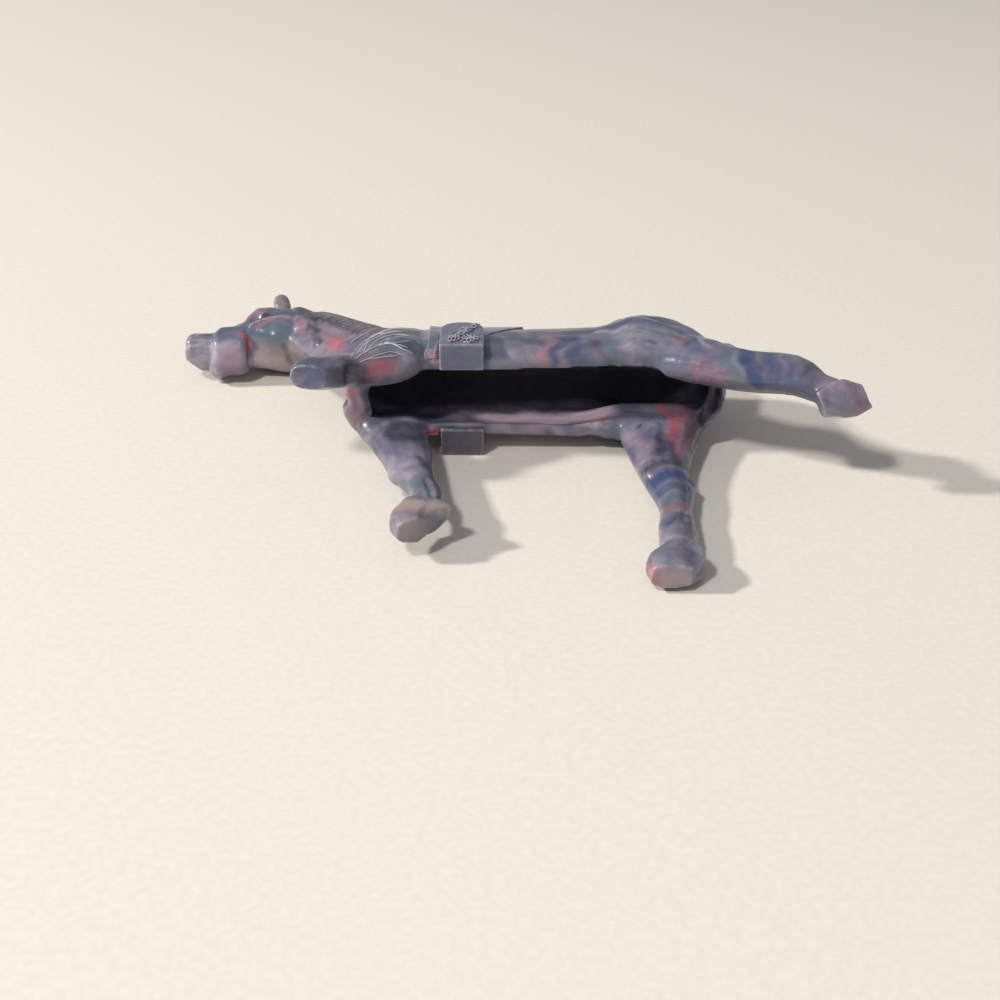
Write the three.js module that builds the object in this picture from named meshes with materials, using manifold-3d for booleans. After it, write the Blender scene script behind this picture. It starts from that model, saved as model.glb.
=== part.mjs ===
// A hollow moulded plastic horse at the gallop, saddled, lying on its right side.
// X runs from nose to tail, Y from the open belly to the back, Z from the right side to the left.
// The body is two shells that meet on the middle of the horse; saddle, stirrups and tail sit on them.
import * as THREE from "three";
import { mergeVertices } from "three/addons/utils/BufferGeometryUtils.js";
import Module from "manifold-3d";

const wasm = await Module();
wasm.setup();

// Trunk, measured from the flat rim of the open belly
const TRUNK_LENGTH = 66;
const WITHERS_HEIGHT = 21;
const BACK_HEIGHT = 20;
const CROUP_HEIGHT = 22;
const SHOULDER_WIDTH = 16;
const BARREL_WIDTH = 16.2;
const HAUNCH_WIDTH = 20.6;
const WIDEST_HEIGHT = 5;
const BELLY_SWELL = 10;
const WALL = 2;

// Neck and head: the head reaches forward, level with the back, and turns a little to the right
const POLL_HEIGHT = 45.5;
const POLL_REACH = 13.6;
const NECK_ARCH = 1.4;
const NECK_DEPTH = 16.4;
const NECK_WIDTH = 9.4;
const THROAT_DEPTH = 11;
const THROAT_WIDTH = 7.6;
const HEAD_REACH = 19.4;
const HEAD_TURN = 5.1;
const CHEEK_DEPTH = 15.8;
const CHEEK_WIDTH = 10.4;
const NOSEBAND_DEPTH = 8.6;
const NOSEBAND_WIDTH = 7.8;
const NOSEBAND_LENGTH = 6.4;
const MUZZLE_DEPTH = 6.2;
const MUZZLE_WIDTH = 6;
const MUZZLE_LENGTH = 5.2;
const STRAP_WIDTH = 2.4;
const STRAP_RAISE = 0.5;
const EAR_LENGTH = 4.8;
const EAR_WIDTH = 3.2;
const MANE_LOCKS = 9;
const MANE_HEIGHT = 1.8;

// Legs: the right pair stands, the left fore is lifted and the left hind is stretched out behind
const LEG_SPREAD = 7.6;
const HIND_LEG_LENGTH = 45.4;
const FORE_LEG_LENGTH = 36.4;
const FORE_LEAN = 5;
const HIND_KICK = 19;
const FORE_LIFT = 8.4;
const THIGH_DEPTH = 14;
const THIGH_WIDTH = 7;
const GASKIN_DEPTH = 8.4;
const ARM_DEPTH = 11;
const ARM_WIDTH = 6.4;
const FOREARM_DEPTH = 8;
const CANNON_DEPTH = 5.2;
const CANNON_WIDTH = 4.6;
const HOOF_LENGTH = 8.8;
const HOOF_WIDTH = 5.4;
const HOOF_HEIGHT = 7.4;
const SOLE_LENGTH = 6;
const SOLE_WIDTH = 4;
const KICKED_HOOF = 0.84;

// Saddle, stirrups and tail
const SADDLE_LENGTH = 16.5;
const SADDLE_THICKNESS = 0.7;
const SKIRT_HEIGHT = 9;
const CINCH_WIDTH = 2;
const CANTLE_HEIGHT = 2.2;
const HORN_HEIGHT = 3.4;
const STIRRUP_LENGTH = 7.4;
const STIRRUP_REACH = 10.2;
const STIRRUP_DROP = 1.2;
const STIRRUP_ARCH = 0.8;
const STIRRUP_LAP = 2.6;
const TAIL_WIDTH = 6;
const TAIL_THICKNESS = 4;
const TAIL_TIP = 0.38;

// Clearances
const SEAM_GAP = 0.3;
const FIT_GAP = 0.3;

// Landmarks that several pieces share
const CHEST_X = -TRUNK_LENGTH / 2;
const RUMP_X = TRUNK_LENGTH / 2;
const ELBOW_X = CHEST_X + ARM_DEPTH * 0.78;
const HIP_X = RUMP_X - THIGH_DEPTH * 0.9;
const GIRTH_X = CHEST_X + TRUNK_LENGTH * 0.3;
const POLL_X = CHEST_X - POLL_REACH;
const NOSE_X = POLL_X - HEAD_REACH;
const HEAD_Y = POLL_HEIGHT - CHEEK_DEPTH / 2;
const NOSE_Y = HEAD_Y - CHEEK_DEPTH * 0.36;
const FAR = 200;
const WELD = 1e-4;
const THINNEST = 0.1;

function solid(geometry) {
  const bare = new THREE.BufferGeometry();
  bare.setAttribute("position", geometry.getAttribute("position"));
  bare.setIndex(geometry.index);
  const merged = mergeVertices(bare, WELD);
  const vertProperties = merged.getAttribute("position").array;
  const triVerts = new Uint32Array(merged.index.array);
  return new wasm.Manifold(new wasm.Mesh({ numProp: 3, vertProperties, triVerts }));
}

function join(solids) {
  return solids.reduce((whole, next) => whole.add(next));
}

// Closes a run of equal rings of points into one skin with a fan at each end. The rings turn
// anticlockwise as seen looking along the run
function skin(rings) {
  const sides = rings[0].length;
  const points = rings.flat();
  const faces = [];
  for (let r = 0; r + 1 < rings.length; r++) {
    for (let s = 0; s < sides; s++) {
      const a = r * sides + s;
      const b = r * sides + ((s + 1) % sides);
      faces.push(a, b + sides, b, a, a + sides, b + sides);
    }
  }
  const last = (rings.length - 1) * sides;
  for (let s = 1; s + 1 < sides; s++) {
    faces.push(0, s, s + 1);
    faces.push(last, last + s + 1, last + s);
  }
  const geometry = new THREE.BufferGeometry().setFromPoints(points);
  geometry.setIndex(faces);
  return solid(geometry);
}

// A smooth limb through sections {at, up, down, wide, square}: up and down are its half depths in the
// upright plane along the limb, wide its half width, and square 2 for round, more for boxy sections.
// Its rings stand square to its path, or all face one way
function limb(sections, { sides = 16, steps = 3, grow = 0, facing } = {}) {
  const path = new THREE.CatmullRomCurve3(sections.map((s) => s.at), false, "catmullrom", 0.5);
  const size = new THREE.CatmullRomCurve3(
    sections.map((s) => new THREE.Vector3(s.up, s.down ?? s.up, s.wide)), false, "catmullrom", 0.5);
  const shape = new THREE.CatmullRomCurve3(
    sections.map((s) => new THREE.Vector3(s.square ?? 2, 0, 0)), false, "catmullrom", 0.5);
  const count = (sections.length - 1) * steps;
  const rings = [];
  for (let i = 0; i <= count; i++) {
    const t = i / count;
    const centre = path.getPoint(t);
    const along = facing ?? path.getTangent(t);
    if (!facing && i === 0) centre.addScaledVector(along, -grow);
    if (!facing && i === count) centre.addScaledVector(along, grow);
    const across = new THREE.Vector3(0, 0, 1).addScaledVector(along, -along.z).normalize();
    const upward = new THREE.Vector3().crossVectors(across, along);
    const half = size.getPoint(t).addScalar(grow).max(at(THINNEST, THINNEST, THINNEST));
    const power = 2 / shape.getPoint(t).x;
    const ring = [];
    for (let s = 0; s < sides; s++) {
      const angle = ((s + 0.5) / sides) * 2 * Math.PI;
      const c = Math.cos(angle);
      const n = Math.sin(angle);
      const w = Math.sign(c) * Math.abs(c) ** power * half.z;
      const d = Math.sign(n) * Math.abs(n) ** power * (n > 0 ? half.x : half.y);
      ring.push(centre.clone().addScaledVector(across, w).addScaledVector(upward, d));
    }
    rings.push(ring);
  }
  return skin(rings);
}

function at(x, y, z = 0) {
  return new THREE.Vector3(x, y, z);
}

// A prism over an outline drawn in two axes, running from low to high along the third
function prism(outline, low, high, place) {
  const ring = (level) => outline.map(([a, b]) => place(a, b, level));
  return skin([ring(low), ring(high)]);
}

function box(minimum, maximum) {
  const size = maximum.clone().sub(minimum);
  const centre = maximum.clone().add(minimum).multiplyScalar(0.5);
  const geometry = new THREE.BoxGeometry(size.x, size.y, size.z);
  geometry.translate(centre.x, centre.y, centre.z);
  return solid(geometry);
}

// The trunk as one skin from chest to buttock; its underside runs below the rim and is cut there
function trunk(grow = 0) {
  const longer = 1 + (2 * grow) / TRUNK_LENGTH;
  const section = (share, top, width, middle = WIDEST_HEIGHT, under = BELLY_SWELL) => ({
    at: at((CHEST_X + share * TRUNK_LENGTH) * longer, middle),
    up: top - middle,
    down: under,
    wide: width / 2,
    square: 2.2,
  });
  const sections = [
    section(0, WITHERS_HEIGHT * 0.5, SHOULDER_WIDTH * 0.4, WIDEST_HEIGHT * 1.1, BELLY_SWELL * 0.6),
    section(0.02, WITHERS_HEIGHT * 0.62, SHOULDER_WIDTH * 0.68, WIDEST_HEIGHT * 1.05, BELLY_SWELL * 0.85),
    section(0.06, WITHERS_HEIGHT * 0.8, SHOULDER_WIDTH * 0.9),
    section(0.14, WITHERS_HEIGHT, SHOULDER_WIDTH),
    section(0.24, WITHERS_HEIGHT * 0.98, SHOULDER_WIDTH * 0.97),
    section(0.36, BACK_HEIGHT, BARREL_WIDTH * 0.97),
    section(0.5, BACK_HEIGHT, BARREL_WIDTH),
    section(0.65, BACK_HEIGHT, BARREL_WIDTH * 1.06),
    section(0.71, CROUP_HEIGHT * 0.97, HAUNCH_WIDTH * 0.94, WIDEST_HEIGHT * 1.2),
    section(0.78, CROUP_HEIGHT, HAUNCH_WIDTH * 0.99, WIDEST_HEIGHT * 1.2),
    section(0.86, CROUP_HEIGHT * 0.92, HAUNCH_WIDTH * 0.9, WIDEST_HEIGHT * 1.2),
    section(0.93, CROUP_HEIGHT * 0.77, HAUNCH_WIDTH * 0.7, WIDEST_HEIGHT * 1.2),
    section(0.965, CROUP_HEIGHT * 0.64, HAUNCH_WIDTH * 0.5, WIDEST_HEIGHT * 1.2, BELLY_SWELL * 0.8),
    section(0.98, CROUP_HEIGHT * 0.48, HAUNCH_WIDTH * 0.24, WIDEST_HEIGHT * 1.2, BELLY_SWELL * 0.5),
  ];
  return limb(sections, { sides: 28, steps: 2, grow, facing: at(1, 0) });
}

// The line that the neck, the mane and the seam follow from the withers to the poll
function neckPoint(share) {
  const topHeight = POLL_HEIGHT * 0.92;
  const midHeight = (WITHERS_HEIGHT + topHeight) / 2 + NECK_ARCH;
  const line = new THREE.CatmullRomCurve3([
    at(CHEST_X + TRUNK_LENGTH * 0.14, WITHERS_HEIGHT * 0.5),
    at(CHEST_X, WITHERS_HEIGHT, -HEAD_TURN * 0.24),
    at(CHEST_X - POLL_REACH * 0.52, midHeight, -HEAD_TURN * 0.6),
    at(POLL_X, topHeight, -HEAD_TURN),
  ]);
  return line.getPoint(share);
}

function neck(grow = 0) {
  const section = (share, crest, throat, width) =>
    ({ at: neckPoint(share), up: crest, down: throat, wide: width / 2 });
  const sections = [
    section(0, NECK_DEPTH * 0.58, NECK_DEPTH * 0.6, NECK_WIDTH * 1.36),
    section(0.34, NECK_DEPTH * 0.5, NECK_DEPTH * 0.58, NECK_WIDTH),
    section(0.68, THROAT_DEPTH * 0.62, THROAT_DEPTH * 0.6, (NECK_WIDTH + THROAT_WIDTH) / 2),
    section(1, THROAT_DEPTH * 0.42, THROAT_DEPTH * 0.5, THROAT_WIDTH),
  ];
  return limb(sections, { sides: 20, steps: 4, grow });
}

// The skull tapers from the cheeks to the muzzle; its brow line falls and its jaw line runs level
function skull(grow = 0) {
  const section = (share, brow, jaw, width) => {
    const top = THREE.MathUtils.lerp(NOSE_Y + MUZZLE_DEPTH / 2, POLL_HEIGHT, brow);
    const under = THREE.MathUtils.lerp(NOSE_Y - MUZZLE_DEPTH / 2, POLL_HEIGHT - CHEEK_DEPTH, jaw);
    return {
      at: at(POLL_X - share * HEAD_REACH, (top + under) / 2, -HEAD_TURN),
      up: (top - under) / 2,
      wide: width / 2,
      square: 2.6,
    };
  };
  return limb([
    section(-0.2, 0.55, 3, CHEEK_WIDTH * 0.4),
    section(-0.1, 0.86, 1.5, CHEEK_WIDTH * 0.86),
    section(0.1, 1, 1, CHEEK_WIDTH),
    section(0.32, 0.86, 1.2, CHEEK_WIDTH * 0.86),
    section(0.5, 0.5, 1.6, CHEEK_WIDTH * 0.7),
    section(0.7, 0.2, 0.8, MUZZLE_WIDTH * 0.96),
    section(0.9, 0.02, 0.1, MUZZLE_WIDTH * 0.9),
  ], { sides: 20, steps: 2, grow, facing: at(-1, 0) });
}

// A block with softened edges across the face, from x forward; its back end is deeper by the rise
function faceBlock(x, length, depth, width, rise, grow) {
  const edge = length * 0.14;
  const section = (along, scale) => {
    const lift = rise * (1 - along / length);
    return {
      at: at(x - along, NOSE_Y + lift / 2, -HEAD_TURN),
      up: ((depth + lift) / 2) * scale,
      wide: (width / 2) * scale,
      square: 3.4,
    };
  };
  const sections = [section(0, 0.88), section(edge, 1), section(length - edge, 1), section(length, 0.84)];
  return limb(sections, { sides: 20, steps: 1, grow, facing: at(-1, 0) });
}

// An ear is a leaf that leans out to its side, with a blunt tip
function ear(side, grow) {
  const crown = POLL_HEIGHT - CHEEK_DEPTH * 0.14;
  const section = (rise, lean, scale) => ({
    at: at(
      POLL_X - EAR_WIDTH * (0.5 + 0.4 * rise),
      crown + EAR_LENGTH * rise,
      side * lean * CHEEK_WIDTH - HEAD_TURN,
    ),
    up: (EAR_WIDTH / 2) * scale,
    wide: (EAR_WIDTH / 3) * scale,
  });
  return limb([
    section(0, 0.22, 0.9),
    section(0.4, 0.32, 1.05),
    section(0.8, 0.42, 0.95),
    section(1, 0.46, 0.55),
  ], { sides: 10, steps: 2, grow });
}

// The brow is a low ridge over the eye
function brow(side, grow) {
  const section = (reach, rise, out, size) => ({
    at: at(POLL_X - reach * HEAD_REACH, HEAD_Y + rise * CHEEK_DEPTH, side * out * CHEEK_WIDTH - HEAD_TURN),
    up: size * CHEEK_WIDTH,
    wide: size * CHEEK_WIDTH,
  });
  return limb([
    section(0.48, 0.04, 0.22, 0.07),
    section(0.34, 0.18, 0.36, 0.15),
    section(0.14, 0.28, 0.34, 0.1),
  ], { sides: 10, steps: 2, grow });
}

function head(grow = 0) {
  const noseLength = MUZZLE_LENGTH * 1.2;
  const muzzle = faceBlock(NOSE_X + noseLength, noseLength, MUZZLE_DEPTH, MUZZLE_WIDTH, 0, grow);
  const bandX = NOSE_X + MUZZLE_LENGTH + NOSEBAND_LENGTH;
  const bandRise = NOSEBAND_DEPTH * 0.2;
  const noseband = faceBlock(bandX, NOSEBAND_LENGTH, NOSEBAND_DEPTH, NOSEBAND_WIDTH, bandRise, grow);
  const pairs = [1, -1].flatMap((side) => [ear(side, grow), brow(side, grow)]);
  return join([skull(grow), muzzle, noseband, throatStrap(grow), ...pairs]);
}

// The strap of the bridle: the skull's own form, raised, between two slanted planes behind the cheek
function throatStrap(grow) {
  const top = POLL_X - CHEEK_DEPTH * 0.02;
  const foot = top + CHEEK_DEPTH * 0.3;
  const half = STRAP_WIDTH / 2 + grow;
  const outline = [
    [top - half, HEAD_Y + CHEEK_DEPTH],
    [top + half, HEAD_Y + CHEEK_DEPTH],
    [foot + half, HEAD_Y - CHEEK_DEPTH],
    [foot - half, HEAD_Y - CHEEK_DEPTH],
  ];
  const slab = prism(outline, -FAR, FAR, (x, y, z) => at(x, y, z));
  return skull(STRAP_RAISE + grow).intersect(slab);
}

// One hoof: toe round and heel flat, swelling below the coronet and drawn in to its flat sole
function hoof({ sole, toe, down, size = 1 }, grow = 0) {
  const side = new THREE.Vector3().crossVectors(toe, down).normalize();
  const ahead = new THREE.Vector3().crossVectors(down, side).normalize();
  const toeArcs = 9;
  const outline = [];
  for (let i = 0; i <= toeArcs; i++) {
    const angle = Math.PI * (i / toeArcs - 0.5);
    const turn = Math.sin(angle);
    outline.push([Math.cos(angle) ** 0.7 * 0.6 - 0.1, (Math.sign(turn) * Math.abs(turn) ** 0.7) / 2]);
  }
  outline.push([-0.5, 0.36], [-0.5, -0.36]);
  const ring = (level, length, width, back) => outline.map(([a, b]) => sole.clone()
    .addScaledVector(down, level)
    .addScaledVector(ahead, a * (length * size + 2 * grow) - back * size)
    .addScaledVector(side, b * (width * size + 2 * grow)));
  return skin([
    ring(-HOOF_HEIGHT, CANNON_DEPTH, CANNON_WIDTH, HOOF_LENGTH * 0.22),
    ring(-HOOF_HEIGHT * 0.62, HOOF_LENGTH * 0.96, HOOF_WIDTH * 0.96, HOOF_LENGTH * 0.14),
    ring(-HOOF_HEIGHT * 0.36, HOOF_LENGTH, HOOF_WIDTH, HOOF_LENGTH * 0.1),
    ring(grow, SOLE_LENGTH, SOLE_WIDTH, 0),
  ]);
}

// Each leg runs from inside the body to the top of its hoof
function legSection(x, y, z, depth, width) {
  return { at: at(x, y, z), up: depth / 2, wide: width / 2 };
}

function rightHind(grow) {
  const sole = -HIND_LEG_LENGTH;
  const coronet = sole + HOOF_HEIGHT * 0.8;
  const z = -LEG_SPREAD;
  const sections = [
    legSection(HIP_X + THIGH_DEPTH * 0.08, THIGH_DEPTH * 0.5, z * 0.62, THIGH_DEPTH * 1.25, THIGH_WIDTH),
    legSection(HIP_X, sole * 0.04, z * 0.86, THIGH_DEPTH, THIGH_WIDTH),
    legSection(HIP_X - THIGH_DEPTH * 0.02, sole * 0.3, z * 0.96, GASKIN_DEPTH, THIGH_WIDTH * 0.88),
    legSection(HIP_X + CANNON_DEPTH * 0.12, sole * 0.46, z, CANNON_DEPTH * 1.3, CANNON_WIDTH * 1.12),
    legSection(HIP_X + CANNON_DEPTH * 0.08, sole * 0.58, z, CANNON_DEPTH, CANNON_WIDTH),
    legSection(HIP_X, sole * 0.7, z, CANNON_DEPTH * 1.12, CANNON_WIDTH * 1.06),
    legSection(HIP_X - CANNON_DEPTH * 0.1, coronet, z * 1.01, CANNON_DEPTH * 1.1, CANNON_WIDTH),
  ];
  const foot = {
    sole: at(HIP_X - CANNON_DEPTH * 0.44, sole, z * 1.01),
    toe: at(-1, 0),
    down: at(0, -1),
  };
  return leg(sections, foot, grow);
}

function rightFore(grow) {
  const sole = -FORE_LEG_LENGTH;
  const coronet = sole + HOOF_HEIGHT * 0.8;
  const z = -LEG_SPREAD;
  const sections = [
    legSection(ELBOW_X, ARM_DEPTH * 0.8, z * 0.6, ARM_DEPTH * 1.15, ARM_WIDTH),
    legSection(ELBOW_X - ARM_DEPTH * 0.02, 0, z * 0.82, ARM_DEPTH, ARM_WIDTH),
    legSection(ELBOW_X + FORE_LEAN * 0.4, sole * 0.26, z * 0.8, FOREARM_DEPTH * 1.1, ARM_WIDTH * 0.94),
    legSection(ELBOW_X + FORE_LEAN * 0.66, sole * 0.44, z * 0.74, FOREARM_DEPTH * 0.92, CANNON_WIDTH * 1.2),
    legSection(ELBOW_X + FORE_LEAN * 1.06, sole * 0.62, z * 0.68, CANNON_DEPTH * 0.94, CANNON_WIDTH),
    legSection(ELBOW_X + FORE_LEAN * 1.26, sole * 0.72, z * 0.67, CANNON_DEPTH, CANNON_WIDTH),
    legSection(ELBOW_X + FORE_LEAN * 1.2, coronet, z * 0.67, CANNON_DEPTH, CANNON_WIDTH),
  ];
  const foot = {
    sole: at(ELBOW_X + FORE_LEAN, sole, z * 0.68),
    toe: at(-1, -0.3),
    down: at(0.28, -1).normalize(),
  };
  return leg(sections, foot, grow);
}

function leftHind(grow) {
  const z = LEG_SPREAD;
  const behind = (share) => RUMP_X + HIND_KICK * share;
  const below = (share) => -THIGH_DEPTH * share;
  const sections = [
    legSection(HIP_X + THIGH_DEPTH * 0.1, THIGH_DEPTH * 0.5, z * 0.62, THIGH_DEPTH * 1.2, THIGH_WIDTH),
    legSection(HIP_X + THIGH_DEPTH * 0.42, THIGH_DEPTH * 0.1, z * 0.82, THIGH_DEPTH * 0.78, THIGH_WIDTH),
    legSection(behind(0.06), below(0.24), z * 0.84, GASKIN_DEPTH * 1.08, THIGH_WIDTH * 0.94),
    legSection(behind(0.42), below(0.42), z * 0.9, CANNON_DEPTH * 1.7, CANNON_WIDTH * 1.36),
    legSection(behind(0.62), below(0.66), z * 0.8, CANNON_DEPTH * 1.06, CANNON_WIDTH * 1.06),
    legSection(behind(0.76), below(0.82), z * 0.78, CANNON_DEPTH * 1.06, CANNON_WIDTH),
  ];
  const foot = {
    sole: at(behind(1), below(0.9), z * 0.72),
    toe: at(0.33, -0.45, -0.8),
    down: at(0.9, 0.15, 0.3).normalize(),
    size: KICKED_HOOF,
  };
  return leg(sections, foot, grow);
}

function leftFore(grow) {
  const toeX = CHEST_X - FORE_LIFT;
  const z = LEG_SPREAD;
  const below = (share) => -ARM_DEPTH * share;
  const sections = [
    legSection(ELBOW_X + ARM_DEPTH * 0.2, ARM_DEPTH * 0.8, z * 0.6, ARM_DEPTH, ARM_WIDTH),
    legSection(ELBOW_X + ARM_DEPTH * 0.1, ARM_DEPTH * 0.2, z * 0.78, ARM_DEPTH * 0.86, ARM_WIDTH),
    legSection(ELBOW_X - ARM_DEPTH * 0.3, below(0.16), z * 0.84, FOREARM_DEPTH * 0.9, ARM_WIDTH),
    legSection(toeX + HOOF_LENGTH, below(0.42), z * 0.9, CANNON_DEPTH * 1.1, CANNON_WIDTH * 1.1),
    legSection(toeX + HOOF_LENGTH * 0.66, below(0.5), z * 0.98, CANNON_DEPTH, CANNON_WIDTH),
  ];
  const foot = {
    sole: at(toeX + HOOF_LENGTH * 0.4, below(0.88), z * 1.06),
    toe: at(-1, 0.1),
    down: at(-0.2, -0.9, 0.16).normalize(),
  };
  return leg(sections, foot, grow);
}

function leg(sections, foot, grow) {
  return limb(sections, { sides: 14, steps: 3, grow }).add(hoof(foot, grow));
}

// Locks of the mane stand along the crest of the neck, each leaning back over the next
function mane(grow = 0) {
  const locks = [];
  for (let i = 0; i < MANE_LOCKS; i++) {
    const share = 0.16 + (0.86 * i) / MANE_LOCKS;
    const middle = neckPoint(share);
    const back = neckPoint(share - 0.05).sub(neckPoint(share + 0.05)).normalize();
    const upward = at(-back.y, back.x);
    const crest = THREE.MathUtils.lerp(NECK_DEPTH * 0.54, THROAT_DEPTH * 0.48, share);
    const place = (along, rise) => middle.clone()
      .addScaledVector(upward, crest + rise * MANE_HEIGHT)
      .addScaledVector(back, along * MANE_HEIGHT);
    const section = (along, rise, size) =>
      ({ at: place(along, rise), up: size * MANE_HEIGHT, wide: size * MANE_HEIGHT });
    locks.push(limb([section(-1.5, -1, 0.8), section(0, -0.35, 1), section(1.9, 0.55, 0.25)],
      { sides: 8, steps: 2, grow }));
  }
  return join(locks);
}

// The whole animal outside, with the belly cut flat at the rim
function horse(grow = 0) {
  const below = box(at(-FAR, -FAR, -FAR), at(FAR, -grow, FAR));
  const body = trunk(grow).subtract(below);
  const limbs = [rightHind(grow), rightFore(grow), leftHind(grow), leftFore(grow)];
  return join([body, neck(grow), head(grow), mane(grow), ...limbs]);
}

// The side of the middle surface to keep: it runs straight along the trunk and follows the turned head
function half(side) {
  const bend = [0.15, 0.34, 0.67, 1].map(neckPoint).map((point) => [point.x, point.z]);
  const middle = [[FAR, 0], [GIRTH_X, 0], ...bend, [-FAR, -HEAD_TURN]];
  const seam = middle.map(([x, z]) => [x, z + (side * SEAM_GAP) / 2]);
  const outline = [...seam, [-FAR, side * FAR], [FAR, side * FAR]];
  if (side > 0) outline.reverse();
  return prism(outline, -FAR, FAR, (x, z, y) => at(x, y, z));
}

// A pad that follows the trunk, with skirts and a cinch strap down each side, a horn and a cantle
function saddle() {
  const front = GIRTH_X - STIRRUP_LENGTH / 2 - CINCH_WIDTH - FIT_GAP;
  const rear = front + SADDLE_LENGTH;
  const outline = [
    [front, FAR],
    [rear, FAR],
    [rear, SKIRT_HEIGHT * 1.8],
    [front + SADDLE_LENGTH * 0.62, SKIRT_HEIGHT],
    [front + CINCH_WIDTH, SKIRT_HEIGHT],
    [front + CINCH_WIDTH, -FIT_GAP],
    [front, -FIT_GAP],
  ];
  const region = prism(outline, -FAR, FAR, (x, y, z) => at(x, y, z));
  const pad = trunk(FIT_GAP + SADDLE_THICKNESS).intersect(region);
  const seat = BACK_HEIGHT + FIT_GAP + SADDLE_THICKNESS;
  const bowFall = (share) => CANTLE_HEIGHT * (0.3 - 1.7 * share ** 2);
  const bow = [-1, -0.55, 0, 0.55, 1].map((share) => ({
    at: at(rear - CANTLE_HEIGHT, seat + bowFall(share), share * BARREL_WIDTH * 0.3),
    up: CANTLE_HEIGHT * (0.9 - 0.3 * share ** 2),
    wide: CANTLE_HEIGHT * 0.5,
  }));
  const cantle = limb(bow, { sides: 10, steps: 2 });
  const post = (rise, radius) => ({
    at: at(front + HORN_HEIGHT * 0.8, seat + rise * HORN_HEIGHT),
    up: radius * HORN_HEIGHT,
    wide: radius * HORN_HEIGHT,
  });
  const posts = [post(-0.4, 0.6), post(0.45, 0.34), post(0.8, 0.5), post(1, 0.44)];
  const horn = limb(posts, { sides: 10, steps: 1 });
  return join([pad, cantle, horn]).subtract(horse(FIT_GAP));
}

// A block stirrup, arched at its top, that hugs the wall and laps under the rim
function stirrup(side) {
  const inner = BARREL_WIDTH / 2 - STIRRUP_LAP;
  const top = SKIRT_HEIGHT - FIT_GAP;
  const half = STIRRUP_LENGTH / 2;
  const outline = [[GIRTH_X - half, -STIRRUP_DROP]];
  const archSteps = 8;
  for (let i = 0; i <= archSteps; i++) {
    const angle = Math.PI * (i / archSteps);
    outline.push([GIRTH_X - half * Math.cos(angle), top - half * STIRRUP_ARCH * (1 - Math.sin(angle))]);
  }
  outline.push([GIRTH_X + half, -STIRRUP_DROP]);
  const low = side > 0 ? inner : -STIRRUP_REACH;
  const high = side > 0 ? STIRRUP_REACH : -inner;
  return prism(outline, low, high, (x, y, z) => at(x, y, z)).subtract(horse(FIT_GAP));
}

// The tail is a few locks side by side, which leave the croup as one and lie against the buttocks
function tail() {
  const lock = (aside, end, size) => {
    const section = (x, height, spread, scale) => ({
      at: at(x, CROUP_HEIGHT * height, aside * spread * TAIL_WIDTH),
      up: (TAIL_THICKNESS / 2) * scale,
      wide: (TAIL_WIDTH / 4) * scale * size,
    });
    return limb([
      section(RUMP_X - TRUNK_LENGTH * 0.16, 0.9, 0.1, 0.7),
      section(RUMP_X - TRUNK_LENGTH * 0.08, 0.88, 0.2, 0.9),
      section(RUMP_X - TAIL_THICKNESS * 0.12, 0.68, 0.34, 1),
      section(RUMP_X + TAIL_THICKNESS * 0.16, (0.68 + end) / 2, 0.4, 0.9),
      section(RUMP_X + TAIL_THICKNESS * 0.2, end, 0.3, 0.25),
    ], { sides: 10, steps: 3 });
  };
  const locks = join([lock(0, TAIL_TIP, 1.2), lock(1, TAIL_TIP * 1.5, 1), lock(-1, TAIL_TIP * 1.25, 1)]);
  return locks.subtract(horse(FIT_GAP));
}

function mesh(name, body, colour) {
  const { vertProperties, triVerts } = body.getMesh();
  const geometry = new THREE.BufferGeometry();
  geometry.setAttribute("position", new THREE.BufferAttribute(new Float32Array(vertProperties), 3));
  geometry.setIndex(new THREE.BufferAttribute(new Uint32Array(triVerts), 1));
  const material = new THREE.MeshStandardMaterial({ color: colour, roughness: 0.32, metalness: 0 });
  const made = new THREE.Mesh(geometry, material);
  made.name = name;
  return made;
}

const shell = horse().subtract(trunk(-WALL));
const figure = new THREE.Group();
figure.add(
  mesh("left_half_shell", shell.intersect(half(1)), 0x6a6478),
  mesh("right_half_shell", shell.intersect(half(-1)), 0x6a6478),
  mesh("saddle", saddle(), 0x5f6078),
  mesh("left_stirrup", stirrup(1), 0x62637c),
  mesh("right_stirrup", stirrup(-1), 0x62637c),
  mesh("tail", tail(), 0x5c5a70),
);

// The figure rests on its right side with the middle of its footprint at the origin
const bounds = new THREE.Box3().setFromObject(figure);
const centre = bounds.getCenter(new THREE.Vector3());
figure.position.set(-centre.x, -centre.y, -bounds.min.z);

const part = new THREE.Group();
part.add(figure);
export default part;
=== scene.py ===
"""A hollow toy horse of marbled plastic, lying on its right side on a pale table."""
import math

import bpy
import numpy as np
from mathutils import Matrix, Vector
from mathutils.bvhtree import BVHTree


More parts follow.
